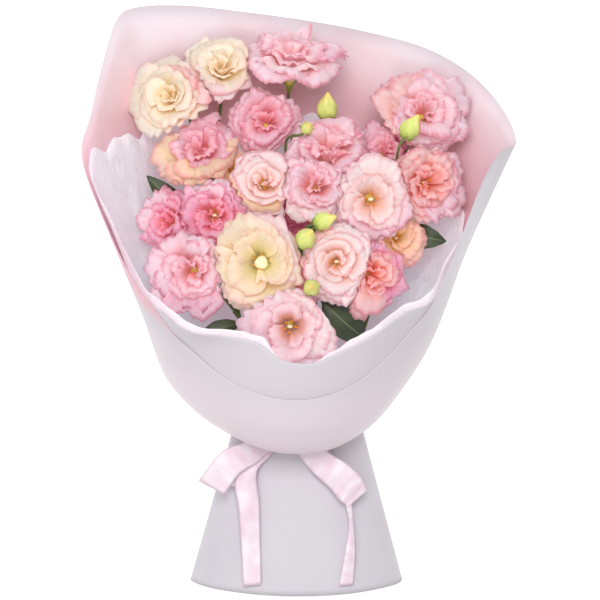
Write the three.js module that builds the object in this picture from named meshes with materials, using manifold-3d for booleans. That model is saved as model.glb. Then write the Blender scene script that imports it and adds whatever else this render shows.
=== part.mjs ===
// A hand bouquet of double lisianthus, lying on its back.
// +Z is up, +Y runs along the stems towards the blooms, and the origin is under the middle of the
// bouquet's box, on the surface that it lies on. Lengths are in millimetres. Places are drawn from a
// point near the origin, and the whole bouquet is moved by MIDDLE at the end.
// The blooms grow from branched green stems, which a twine binds. White tissue, a frosted film and a
// sheet of pink paper wrap them, each just inside the next, and a satin ribbon ties the wrap's neck.
import * as THREE from "three";
import { mergeVertices } from "three/addons/utils/BufferGeometryUtils.js";
import Module from "manifold-3d";

const wasm = await Module();
wasm.setup();

// Driving dimensions
const MIDDLE = [-1, -3, 0];
const CLEARANCE = 0.35;
const PAPER = 1.0;
const FILM = 0.8;
const TISSUE = 0.8;
const RIBBON = 0.8;
const STEM_RADIUS = 2.2;
const BRANCH_RADIUS = 1.5;
const TWINE = 3.0;
const TIE_Y = -101;
const TIE_Z = 47;
const LEAF_THICKNESS = 1.2;
const PETAL_THICKNESS = 1.1;

const rad = THREE.MathUtils.degToRad;
const lerp = THREE.MathUtils.lerp;
const clamp = THREE.MathUtils.clamp;
const vec = (x, y, z) => new THREE.Vector3(x, y, z);

// A fixed number from 0 to 1 for a pair of whole numbers
function chance(i, j) {
  const wave = Math.sin(i * 12.9898 + j * 78.233) * 43758.5453;
  return wave - Math.floor(wave);
}

// The wrap: rings from the tie to the widest part. Each has its half widths, its place along the stems
// at the sides, front and back, and its depth at the back, middle and front. The last ring is EDGE.
const RINGS = [
  { left: 19.5, right: 19.5, side: -113, front: -113, back: -113, low: 31, middle: TIE_Z, top: 63 },
  { left: 19.5, right: 19.5, side: -89, front: -89, back: -89, low: 31, middle: TIE_Z, top: 63 },
  { left: 70, right: 64, side: -127, front: -150, back: -100, low: 4, middle: 50, top: 114 },
  { left: 130, right: 107, side: -84, front: -130, back: -55, low: -8, middle: 72, top: 158 },
  { left: 158, right: 145, side: -12, front: -95, back: 50, low: -14, middle: 92, top: 178 },
];

// The wrap's edge all round: angle about the stems in degrees (0 right, 90 front), then its point
const EDGE = [
  [-90, 10, 289, 12],
  [-74, 72, 277, 13],
  [-60, 131, 259, 26],
  [-46, 175, 231, 44],
  [-30, 205, 194, 68],
  [-16, 217, 158, 94],
  [-4, 199, 146, 124],
  [8, 180, 117, 147],
  [22, 156, 59, 166],
  [34, 131, 6, 178],
  [46, 102, -12, 184],
  [60, 71, -34, 187],
  [74, 41, -49, 188],
  [88, 13, -60, 188],
  [102, -17, -57, 188],
  [116, -40, -41, 187],
  [130, -71, -35, 184],
  [142, -108, -30, 178],
  [154, -136, -9, 168],
  [164, -158, 14, 156],
  [174, -186, 67, 138],
  [186, -215, 140, 118],
  [198, -208, 186, 100],
  [210, -198, 237, 80],
  [220, -185, 284, 62],
  [230, -167, 298, 50],
  [242, -121, 302, 36],
  [256, -64, 298, 22],
];
const ANGLES = EDGE.map((row) => row[0]);

// The wrap's back is pressed almost flat, just above the surface that the bouquet lies on
const PRESSED = 0.3;

function hermite(a, b, slopeA, slopeB, t) {
  const [t2, t3] = [t * t, t * t * t];
  const rise = 3 * t2 - 2 * t3;
  return a * (1 - rise) + slopeA * (t3 - 2 * t2 + t) + b * rise + slopeB * (t3 - t2);
}

// A smooth closed curve through rows of [angle, value, ...], read at an angle in degrees
function roundTable(rows, degrees) {
  const first = rows[0][0];
  const turn = ((((degrees - first) % 360) + 360) % 360) + first;
  let i = rows.length - 1;
  while (rows[i][0] > turn) i -= 1;
  const at = (k) => {
    const n = rows.length;
    const row = rows[((k % n) + n) % n];
    return [row[0] + 360 * Math.floor(k / n), ...row.slice(1)];
  };
  const [p0, p1, p2, p3] = [at(i - 1), at(i), at(i + 1), at(i + 2)];
  const span = p2[0] - p1[0];
  const t = (turn - p1[0]) / span;
  return p1.slice(1).map((value, k) => {
    const slopeA = ((p2[k + 1] - p0[k + 1]) / (p2[0] - p0[0])) * span;
    const slopeB = ((p3[k + 1] - p1[k + 1]) / (p3[0] - p1[0])) * span;
    return hermite(value, p2[k + 1], slopeA, slopeB, t);
  });
}

function ringPoint(ring, degrees) {
  const [c, s] = [Math.cos(rad(degrees)), Math.sin(rad(degrees))];
  const x = (c < 0 ? ring.left : ring.right) * c;
  const y = ring.side + ((s > 0 ? ring.front : ring.back) - ring.side) * Math.abs(s) ** 1.8;
  const z = ring.middle + (s > 0 ? ring.top - ring.middle : ring.middle - ring.low) * s;
  return vec(x, y, z);
}

// A point of the wrap's outer face. row runs from 0 at the foot of the neck, over 1 at its top, to 5 at
// the edge.
function wrapPoint(degrees, row) {
  const stop = (k) => (k < RINGS.length ? ringPoint(RINGS[k], degrees) : vec(...roundTable(EDGE, degrees)));
  const last = RINGS.length;
  if (row <= 1) return stop(0).lerp(stop(1), row);
  const k = Math.min(Math.floor(row), last - 1);
  const [a, b] = [stop(k), stop(k + 1)];
  const slopeA = k === 1 ? b.clone().sub(a) : b.clone().sub(stop(k - 1)).multiplyScalar(0.5);
  const slopeB = k + 1 === last ? b.clone().sub(a) : stop(k + 2).sub(a).multiplyScalar(0.5);
  const point = vec(0, 0, 0);
  for (const axis of ["x", "y", "z"]) {
    point[axis] = hermite(a[axis], b[axis], slopeA[axis], slopeB[axis], row - k);
  }
  point.z = Math.max(point.z, PRESSED);
  return point;
}

// The wrap's normal, pointing in towards the flowers
function wrapNormal(degrees, row) {
  const [da, dr] = [2, 0.04];
  const around = wrapPoint(degrees + da, row).sub(wrapPoint(degrees - da, row));
  const above = row < 1 ? Math.min(row + dr, 1) : row + dr;
  const below = row > 1 ? Math.max(row - dr, 1) : Math.max(row - dr, 0);
  const along = wrapPoint(degrees, Math.min(above, 5)).sub(wrapPoint(degrees, below));
  return around.cross(along).normalize();
}

// How far a layer lies inside the wrap's outer face: snug in the neck, looser in the bowl
function layerDepth(row, snug, loose) {
  return lerp(snug, loose, THREE.MathUtils.smoothstep(row, 1, 2.2));
}

// A closed shell from two grids of points, grid[row][column], whose columns close on themselves
function ringShell(outer, inner) {
  const columns = outer[0].length;
  const rows = outer.length;
  const positions = [outer, inner].flat(2).flatMap((p) => [p.x, p.y, p.z]);
  const at = (face, row, column) => (face * rows + row) * columns + (column % columns);
  const index = [];
  for (let i = 0; i < columns; i += 1) {
    for (let j = 0; j + 1 < rows; j += 1) {
      const [a, b, c, d] = [at(0, j, i), at(0, j, i + 1), at(0, j + 1, i + 1), at(0, j + 1, i)];
      const [e, f, g, h] = [at(1, j, i), at(1, j, i + 1), at(1, j + 1, i + 1), at(1, j + 1, i)];
      index.push(a, c, b, a, d, c, e, f, g, e, g, h);
    }
    for (const [row, turned] of [[0, false], [rows - 1, true]]) {
      const [a, b, c, d] = [at(0, row, i), at(0, row, i + 1), at(1, row, i + 1), at(1, row, i)];
      index.push(...(turned ? [a, c, b, a, d, c] : [a, b, c, a, c, d]));
    }
  }
  const geometry = new THREE.BufferGeometry();
  geometry.setAttribute("position", new THREE.Float32BufferAttribute(positions, 3));
  geometry.setIndex(index);
  return geometry;
}

// One wrapped sheet: rows that all sheets share, then rows up to its own edge, at a depth inside the
// outer face
const LAST_SHARED_ROW = 3.3;
const SHEET_ROWS = [1, 1.5, 2, 2.6, LAST_SHARED_ROW, LAST_SHARED_ROW + 0.5, LAST_SHARED_ROW + 1];

function wrapSheet(rows, edgeRow, snug, loose, thickness, skirt = []) {
  const grid = (extra) => {
    const lines = skirt.map((level) => ANGLES.map((degrees) => skirtPoint(degrees, level, extra)));
    for (const share of rows) {
      lines.push(
        ANGLES.map((degrees) => {
          const beyond = Math.max(share - LAST_SHARED_ROW, 0);
          const row = beyond > 0 ? lerp(LAST_SHARED_ROW, edgeRow(degrees), beyond) : share;
          const depth = layerDepth(row, snug, loose) + extra;
          return wrapPoint(degrees, row).addScaledVector(wrapNormal(degrees, row), depth);
        }),
      );
    }
    return lines;
  };
  return ringShell(grid(0), grid(thickness));
}

// The skirt of film below the tie. level runs from 0 at the tie to 1 at its cut edge.
const SKIRT_FLARE = { y: -131, left: 68, right: 65, low: 12, top: 78 };
const SKIRT_CUT = { y: -284, left: 111, right: 106, low: 0.8, top: 86 };
const SKIRT_MIDDLE = 43;
const SKIRT_BOW = 12;
const FLARE_LEVEL = 0.1;

function skirtPoint(degrees, level, inset) {
  const [c, s] = [Math.cos(rad(degrees)), Math.sin(rad(degrees))];
  const neck = wrapPoint(degrees, 0).addScaledVector(wrapNormal(degrees, 0.5), FILM_SNUG);
  const opened = (level - FLARE_LEVEL) / (1 - FLARE_LEVEL);
  const between = (key) => lerp(SKIRT_FLARE[key], SKIRT_CUT[key], opened);
  const half = between(c < 0 ? "left" : "right");
  const depth = between(s < 0 ? "low" : "top");
  const y = between("y") - SKIRT_BOW * Math.abs(s) ** 1.5 * level;
  const middle = lerp(TIE_Z, SKIRT_MIDDLE, level);
  const open = vec(half * c, y, middle + Math.abs(depth - middle) * s);
  const inward = vec(-c, 0, -s).multiplyScalar(inset);
  open.add(inward);
  if (level >= FLARE_LEVEL) return open;
  return neck.add(inward).lerp(open, level / FLARE_LEVEL);
}

const FILM_SNUG = PAPER + CLEARANCE;
const TISSUE_SNUG = FILM_SNUG + FILM + CLEARANCE;

// The paper's front edge dips below the lip, so that the film shows above it
function paperEdge(degrees) {
  const share = clamp((degrees - 30) / 128, 0, 1);
  return 5 - 1.02 * Math.sin(Math.PI * share) ** 0.7;
}

// How far up the wrap the film and the tissue reach, as [degrees, row]
const FILM_EDGE = [
  [-90, 4.2], [-50, 4.2], [-20, 4.1], [10, 4.3], [30, 4.8], [46, 5], [90, 5], [142, 5], [160, 4.85],
  [185, 4.4], [215, 4.2],
];
const TISSUE_EDGE = [
  [-90, 4.62], [-60, 4.6], [-36, 4.55], [-16, 4.5], [6, 4.5], [24, 4.7], [40, 4.9], [60, 4.92], [95, 4.9],
  [125, 5], [150, 5], [175, 4.98], [195, 4.85], [215, 4.7], [240, 4.6],
];

// The paper bears on the surface at a few low spots round the bouquet's weight, as [degrees, place in
// PAPER_ROWS]. Three of them are the corners of a flat patch.
const PAPER_ROWS = [0, ...SHEET_ROWS];
const LOW_ROW = PAPER_ROWS.indexOf(LAST_SHARED_ROW);
const FEET = [[242, LOW_ROW], [256, LOW_ROW], [-90, LOW_ROW], [-60, LOW_ROW], [-90, LOW_ROW + 1]];

function pinkPaper() {
  const sheet = wrapSheet(PAPER_ROWS, paperEdge, 0, 0, PAPER);
  for (const [degrees, row] of FEET) {
    sheet.attributes.position.setZ(row * ANGLES.length + ANGLES.indexOf(degrees), 0);
  }
  return sheet;
}

// The film is one sheet, built as two solids that meet under the ribbon: its bowl and its skirt. The
// tissue starts there too.
const FILM_SEAM = 0.3;
const SEAM_GAP = 0.015;
const BOWL_ROWS = [FILM_SEAM + SEAM_GAP, ...SHEET_ROWS];
const filmEdge = (degrees) => roundTable(FILM_EDGE, degrees)[0];

function frostedFilm() {
  return wrapSheet(BOWL_ROWS, filmEdge, FILM_SNUG, PAPER + 3, FILM);
}

function filmSkirt() {
  return wrapSheet([0, FILM_SEAM], filmEdge, FILM_SNUG, FILM_SNUG, FILM, [1, 0.55, 0.1]);
}

function tissueLiner() {
  const edge = (degrees) => roundTable(TISSUE_EDGE, degrees)[0];
  return wrapSheet(BOWL_ROWS, edge, TISSUE_SNUG, PAPER + 3 + FILM + 3, TISSUE);
}

// Turns a closed three.js shape into a manifold solid and back
function solid(geometry) {
  const bare = geometry.clone();
  for (const key of Object.keys(bare.attributes)) if (key !== "position") bare.deleteAttribute(key);
  const merged = mergeVertices(bare, 1e-4);
  const vertProperties = new Float32Array(merged.attributes.position.array);
  const triVerts = new Uint32Array(merged.index.array);
  return new wasm.Manifold(new wasm.Mesh({ numProp: 3, vertProperties, triVerts }));
}

function fuse(solids) {
  const joined = wasm.Manifold.union(solids).simplify(0.1);
  const bodies = joined.decompose().sort((a, b) => b.volume() - a.volume());
  const mesh = bodies[0].getMesh();
  const geometry = new THREE.BufferGeometry();
  geometry.setAttribute("position", new THREE.BufferAttribute(new Float32Array(mesh.vertProperties), 3));
  geometry.setIndex(new THREE.BufferAttribute(new Uint32Array(mesh.triVerts), 1));
  return geometry;
}

// A frame at a point, with +Z along a direction and turned about it by an angle in radians
function frameAt(point, direction, turn = 0) {
  const z = direction.clone().normalize();
  const x = (Math.abs(z.y) < 0.9 ? vec(0, 1, 0) : vec(1, 0, 0)).cross(z).normalize();
  const y = z.clone().cross(x);
  const frame = new THREE.Matrix4().makeBasis(x, y, z).multiply(new THREE.Matrix4().makeRotationZ(turn));
  return frame.setPosition(point);
}

// A solid of revolution about +Z from [radius, height] points that start and end on the axis
function turned(points, sides, frame) {
  const profile = points.map(([radius, height]) => new THREE.Vector2(radius, height));
  return solid(new THREE.LatheGeometry(profile, sides).rotateX(Math.PI / 2).applyMatrix4(frame));
}

// A smooth curve whose even steps land on each of its points
class StemCurve extends THREE.CatmullRomCurve3 {
  getTangentAt(u, target) {
    return this.getTangent(u, target);
  }

  getSpacedPoints(steps) {
    return this.getPoints(steps);
  }
}

// A round stem along a smooth curve through points, in even steps
function stem(points, radius, sides, steps) {
  const shape = new THREE.Shape();
  for (let i = 0; i < sides; i += 1) {
    const angle = (i / sides) * 2 * Math.PI;
    shape[i === 0 ? "moveTo" : "lineTo"](radius * Math.cos(angle), radius * Math.sin(angle));
  }
  shape.closePath();
  const extrudePath = new StemCurve(points);
  const options = { extrudePath, steps, curveSegments: 1, bevelEnabled: false };
  return solid(new THREE.ExtrudeGeometry(shape, options));
}

// A blade with a sharp edge all round: grid[row][column] of points, thickened away from the edge
function blade(grid, thickness) {
  const rows = grid.length;
  const columns = grid[0].length;
  const inside = (j, i) => j > 0 && j < rows - 1 && i > 0 && i < columns - 1;
  const positions = [];
  const ids = [[], []];
  for (let j = 0; j < rows; j += 1) {
    for (let i = 0; i < columns; i += 1) {
      const p = grid[j][i];
      if (!inside(j, i)) {
        positions.push(p.x, p.y, p.z);
        ids[0].push(positions.length / 3 - 1);
        ids[1].push(positions.length / 3 - 1);
        continue;
      }
      const across = grid[j][i + 1].clone().sub(grid[j][i - 1]);
      const up = grid[j + 1][i].clone().sub(grid[j - 1][i]);
      const normal = across.cross(up).normalize();
      for (const side of [0, 1]) {
        const q = p.clone().addScaledVector(normal, (side ? -0.5 : 0.5) * thickness);
        positions.push(q.x, q.y, q.z);
        ids[side].push(positions.length / 3 - 1);
      }
    }
  }
  const index = [];
  for (let j = 0; j + 1 < rows; j += 1) {
    for (let i = 0; i + 1 < columns; i += 1) {
      const rising = (i < (columns - 1) / 2) === (j < (rows - 1) / 2);
      for (const side of [0, 1]) {
        const at = (dj, di) => ids[side][(j + dj) * columns + i + di];
        const [a, b, c, d] = [at(0, 0), at(0, 1), at(1, 1), at(1, 0)];
        const faces = rising ? [[a, b, c], [a, c, d]] : [[a, b, d], [b, c, d]];
        for (const [p, q, r] of faces) index.push(...(side ? [p, r, q] : [p, q, r]));
      }
    }
  }
  const geometry = new THREE.BufferGeometry();
  geometry.setAttribute("position", new THREE.Float32BufferAttribute(positions, 3));
  geometry.setIndex(index);
  return solid(geometry);
}

// Blooms: name, middle of the flower, radius, and the way that it faces. Each also has its form.
const BLOOMS = {
  cream_left: { at: [-134, 208, 90], radius: 41, faces: [-0.35, 0.25, 0.9], form: "rose" },
  cream_top: { at: [-79, 240, 76], radius: 37, faces: [0, 0.45, 0.9], form: "rose" },
  pink_top: { at: [-8, 258, 75], radius: 48, faces: [0.05, 0.85, 0.5], form: "frilled" },
  pink_top_right: { at: [126, 193, 88], radius: 44, faces: [0.1, 0.25, 0.95], form: "frilled" },
  pink_upper: { at: [-34, 185, 85], radius: 41, faces: [0, 0.3, 0.95], form: "frilled" },
  peach_left: { at: [-102, 157, 98], radius: 43, faces: [-0.15, 0.5, 0.85], form: "frilled" },
  peach_open: { at: [-65, 133, 85], radius: 31, faces: [0.1, 0.2, 0.97], form: "open" },
  pale_upper: { at: [-34, 119, 122], radius: 37, faces: [0.1, 0.2, 0.97], form: "rose" },
  pink_wide: { at: [29, 158, 105], radius: 48, faces: [0.05, 0.55, 0.83], form: "frilled" },
  pink_middle: { at: [16, 116, 130], radius: 41, faces: [0, 0.15, 0.98], form: "frilled" },
  pale_right: { at: [73, 99, 130], radius: 46, faces: [0.1, -0.1, 0.98], form: "open" },
  coral_right: { at: [131, 118, 108], radius: 40, faces: [0.35, 0, 0.93], form: "frilled" },
  pink_left: { at: [-135, 79, 105], radius: 33, faces: [-0.5, 0, 0.85], form: "frilled" },
  deep_left: { at: [-86, 86, 125], radius: 38, faces: [-0.1, 0.05, 0.98], form: "frilled" },
  pale_left: { at: [-108, 28, 140], radius: 42, faces: [-0.15, -0.1, 0.97], form: "frilled" },
  cream_open: { at: [-39, 38, 150], radius: 52, faces: [0, -0.05, 1], form: "open" },
  pale_rose: { at: [37, 38, 150], radius: 44, faces: [0, -0.05, 1], form: "rose" },
  coral_lower: { at: [77, 25, 135], radius: 37, faces: [0.4, -0.1, 0.9], form: "frilled" },
  pink_low: { at: [-3, 16, 116], radius: 27, faces: [0, -0.1, 0.98], form: "frilled" },
  pink_front: { at: [-9, -28, 160], radius: 46, faces: [0, -0.15, 0.98], form: "open" },
  deep_back: { at: [-9, 93, 85], radius: 29, faces: [0, 0, 1], form: "frilled" },
  coral_back: { at: [86, 156, 80], radius: 30, faces: [0.1, 0.4, 0.9], form: "frilled" },
  peach_back: { at: [98, 63, 100], radius: 29, faces: [0.1, 0, 1], form: "open" },
};

// The whorls of a bloom: how many petals, half a petal's spread in degrees, and its shape from root to
// tip, as four [distance from the axis, height] points in shares of the bloom's radius and height
const FORMS = {
  frilled: [
    { petals: 5, half: 46, curve: [[0.12, 0.1], [0.3, 0.35], [0.62, 1.1], [1.0, 0.7]] },
    { petals: 3, half: 64, curve: [[0.09, 0.2], [0.2, 0.45], [0.34, 0.95], [0.62, 1.0]] },
    { petals: 2, half: 84, curve: [[0.06, 0.3], [0.12, 0.5], [0.08, 0.85], [0.3, 1.05]] },
  ],
  rose: [
    { petals: 4, half: 56, curve: [[0.12, 0.1], [0.35, 0.3], [0.8, 0.8], [1.0, 0.5]] },
    { petals: 3, half: 68, curve: [[0.09, 0.2], [0.3, 0.4], [0.52, 0.9], [0.62, 0.95]] },
    { petals: 3, half: 76, curve: [[0.06, 0.3], [0.18, 0.5], [0.2, 0.85], [0.28, 1.08]] },
  ],
  open: [
    { petals: 5, half: 46, curve: [[0.12, 0.1], [0.3, 0.3], [0.6, 0.95], [1.0, 0.78]] },
    { petals: 4, half: 54, curve: [[0.09, 0.2], [0.25, 0.45], [0.5, 0.85], [0.72, 0.95]] },
  ],
};
const BLOOM_HEIGHT = 0.9;
const PETAL_ROUNDING = 0.22;
const STAGGER = 0.08;
const RUFFLE = 0.05;

// The heart of a bloom, which its petals grow from: rings of [radius, height] shares. The whorls grow
// from the faces between rings 1 and 2, 2 and 3, and 3 and 4. An open bloom shows a pistil on top.
const HEART = [[0.11, 0], [0.13, 0.1], [0.14, 0.2], [0.11, 0.28], [0.06, 0.33]];
const HEART_SIDES = 8;
const HEART_PEAK = 0.36;
const PISTIL = [[0.05, 0.36], [0.06, 0.56]];
const PISTIL_PEAK = 0.62;
const BLOOM_NAMES = Object.keys(BLOOMS);

// Where a bloom's roots and the middle of its body are
const HEART_SHARE = 0.6;

function bloomPlace({ at, radius, faces }) {
  const facing = vec(...faces).normalize();
  const height = radius * BLOOM_HEIGHT;
  const root = vec(...at).addScaledVector(facing, -height);
  const heart = root.clone().addScaledVector(facing, HEART_SHARE * height);
  return { root, facing, height, radius, heart };
}

// Buds: middle, radius, the way that they point, and a point that their stalk passes
const BUDS = {
  upright: { at: [28, 194, 72], radius: 12, points: [0.05, 0.9, 0.42], via: [42, 150, 52] },
  small: { at: [8, 171, 122], radius: 7, points: [0.25, 0.3, 0.9], via: [-13, 161, 82] },
  slanted: { at: [110, 171, 118], radius: 11, points: [0.5, 0.8, 0.3], via: [94, 120, 76] },
  pair_high: { at: [24, 78, 152], radius: 10, points: [0.85, 0.3, 0.4], via: [17, 66, 120] },
  pair_low: { at: [7, 61, 162], radius: 11, points: [0.35, 0.45, 0.8], via: [10, 50, 112] },
  round: { at: [12, 13, 166], radius: 9, points: [0, 0.1, 1], via: [8, -8, 130] },
};

const PLACES = Object.fromEntries(BLOOM_NAMES.map((name) => [name, bloomPlace(BLOOMS[name])]));
const BLOOM_REACH = 0.95;
const STALK_REACHES = [3, 2.2];
const CROWD = BLOOM_NAMES.map((name) => ({
  name,
  heart: PLACES[name].heart,
  reach: PLACES[name].radius * BLOOM_REACH,
}));
for (const [name, { at, radius, points, via }] of Object.entries(BUDS)) {
  const foot = vec(...at).addScaledVector(vec(...points).normalize(), -1.8 * radius);
  CROWD.push({ name, heart: vec(...at), reach: radius, firm: true });
  CROWD.push({ name, heart: foot, reach: STALK_REACHES[0], firm: true });
  CROWD.push({ name, heart: vec(...via), reach: STALK_REACHES[1], firm: true });
}

// Blooms and buds press against each other. Each has the room on its own side of the planes between it
// and its neighbours, and a point that would reach out of that room is drawn back towards the middle
// of its bloom.
const SOFT_FROM = 0.62;

function press(name, point, gap) {
  const here = CROWD.find((member) => member.name === name);
  const out = point.clone().sub(here.heart);
  const reach = out.length();
  out.divideScalar(reach);
  let room = Infinity;
  for (const there of CROWD) {
    if (there === here) continue;
    const away = there.heart.clone().sub(here.heart);
    const distance = away.length();
    const towards = out.dot(away) / distance;
    if (towards <= 0.01 || distance > 1.5 * (here.reach + there.reach)) continue;
    const shared = (distance * distance + here.reach ** 2 - there.reach ** 2) / (2 * distance);
    const limit = (there.firm ? Math.min(shared, distance - there.reach) : shared) - gap;
    room = Math.min(room, limit / towards);
  }
  const share = reach / room;
  if (share <= SOFT_FROM) return point;
  const pressed = SOFT_FROM + (1 - SOFT_FROM) * Math.tanh((share - SOFT_FROM) / (1 - SOFT_FROM));
  return here.heart.clone().addScaledVector(out, pressed * room);
}

// A point at a share t of a curve with four control points, and the way that the curve runs there
function bezier(curve, t) {
  const [a, b, c, d] = curve.map(([reach, rise]) => new THREE.Vector2(reach, rise));
  const [ab, bc, cd] = [a.lerp(b, t), b.lerp(c, t), c.clone().lerp(d, t)];
  const [first, second] = [ab.lerp(bc, t), bc.lerp(cd, t)];
  const slope = second.clone().sub(first).normalize();
  const { x: reach, y: rise } = first.lerp(second, t);
  return { reach, rise, slope };
}

// A point of a petal: across runs from -1 to 1 over its width and along from 0 at its root to 1 at its
// tip. One side of each petal lies over its neighbour, and its edge waves.
function petalPoint(place, whorl, middle, across, along, seed) {
  const { reach, rise, slope } = bezier(whorl.curve, along * (1 - PETAL_ROUNDING * Math.abs(across) ** 3));
  const wave = RUFFLE * along * along * (2 * chance(seed, Math.round(across * 2) + 5) - 1);
  const over = STAGGER * across * (0.3 + 0.7 * along) + wave;
  const out = (reach + slope.y * over) * place.radius;
  const up = rise * place.height - slope.x * over * place.radius;
  const angle = middle + rad(whorl.half) * across;
  return vec(out * Math.cos(angle), out * Math.sin(angle), up);
}

// One closed body: the heart's rings of faces, with a petal in the place of some of them
function bloomSolid(name) {
  const place = PLACES[name];
  const { form } = BLOOMS[name];
  const number = BLOOM_NAMES.indexOf(name);
  const frame = frameAt(place.root, place.facing, 2 * Math.PI * chance(number, 1));
  const positions = [];
  const index = [];
  const corner = (p) => positions.push(p.x, p.y, p.z) / 3 - 1;
  const open = form === "open";
  const rings = [...HEART, ...(open ? PISTIL : [])].map(([out, up], level) =>
    Array.from({ length: HEART_SIDES }, (_, i) => {
      const angle = (i / HEART_SIDES) * 2 * Math.PI;
      const base = level === 0 ? CLEARANCE : 0;
      const [x, y] = [out * place.radius * Math.cos(angle), out * place.radius * Math.sin(angle)];
      return corner(vec(x, y, up * place.height + base).applyMatrix4(frame));
    }),
  );
  const [foot, crown] = [rings[0], rings.at(-1)];
  const peak = (open ? PISTIL_PEAK : HEART_PEAK) * place.height;
  const top = corner(vec(0, 0, peak).applyMatrix4(frame));
  for (let i = 1; i + 1 < HEART_SIDES; i += 1) index.push(foot[0], foot[i + 1], foot[i]);
  for (let i = 0; i < HEART_SIDES; i += 1) index.push(crown[i], crown[(i + 1) % HEART_SIDES], top);
  for (let level = 0; level + 1 < rings.length; level += 1) {
    const whorl = FORMS[form][level - 1];
    const petals = whorl ? whorl.petals : 0;
    const turn = 0.4 * level + 0.2 * chance(number, level);
    const shares = Array.from({ length: petals }, (_, k) => (k + turn) / petals);
    const middles = shares.map((share) => share * 2 * Math.PI);
    const columns = shares.map((share) => Math.round(share * HEART_SIDES - 0.5) % HEART_SIDES);
    for (let i = 0; i < HEART_SIDES; i += 1) {
      const next = (i + 1) % HEART_SIDES;
      const face = [rings[level][i], rings[level][next], rings[level + 1][next], rings[level + 1][i]];
      const k = columns.indexOf(i);
      if (k < 0) {
        index.push(face[0], face[1], face[2], face[0], face[2], face[3]);
        continue;
      }
      const seed = 100 * number + 10 * level + k;
      const point = (across, along) => {
        const gap = 0.8 + 0.6 * chance(seed, 20 + Math.round(4 * across + 10 * along));
        const free = petalPoint(place, whorl, middles[k], across, along, seed).applyMatrix4(frame);
        return press(name, free, gap);
      };
      petalFaces(face, point, corner, index);
    }
  }
  const geometry = new THREE.BufferGeometry();
  geometry.setAttribute("position", new THREE.Float32BufferAttribute(positions, 3));
  geometry.setIndex(index);
  return geometry;
}

// A petal drawn out of one face of the heart: thick inside, and sharp along its edge
const PETAL_COLUMNS = [-1, -0.5, 0, 0.5, 1];

function petalFaces([lowLeft, lowRight, highRight, highLeft], point, corner, index) {
  const tips = PETAL_COLUMNS.map((across) => corner(point(across, 1)));
  const under = [];
  const over = [];
  PETAL_COLUMNS.forEach((across, i) => {
    const middle = point(across, 0.55);
    if (i === 0 || i === 4) {
      under.push(corner(middle));
      over.push(under[i]);
      return;
    }
    const width = point(across + 0.3, 0.55).sub(point(across - 0.3, 0.55));
    const length = point(across, 0.8).sub(point(across, 0.3));
    const normal = width.cross(length).setLength(PETAL_THICKNESS / 2);
    under.push(corner(middle.clone().add(normal)));
    over.push(corner(middle.sub(normal)));
  });
  const face = (rim, left, right, flip) => {
    const faces = [[left, rim[1], rim[0]], [left, rim[2], rim[1]], [left, right, rim[2]]];
    faces.push([right, rim[3], rim[2]], [right, rim[4], rim[3]]);
    faces.push([rim[0], rim[1], tips[0]], [rim[1], tips[1], tips[0]], [rim[1], rim[2], tips[1]]);
    faces.push([rim[2], tips[2], tips[1]], [rim[2], rim[3], tips[2]], [rim[3], tips[3], tips[2]]);
    faces.push([rim[3], rim[4], tips[4]], [rim[3], tips[4], tips[3]]);
    for (const [a, b, c] of faces) index.push(...(flip ? [a, c, b] : [a, b, c]));
  };
  face(under, lowLeft, lowRight, false);
  face(over, highLeft, highRight, true);
  index.push(lowRight, highRight, under[4], highLeft, lowLeft, under[0]);
}

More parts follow.
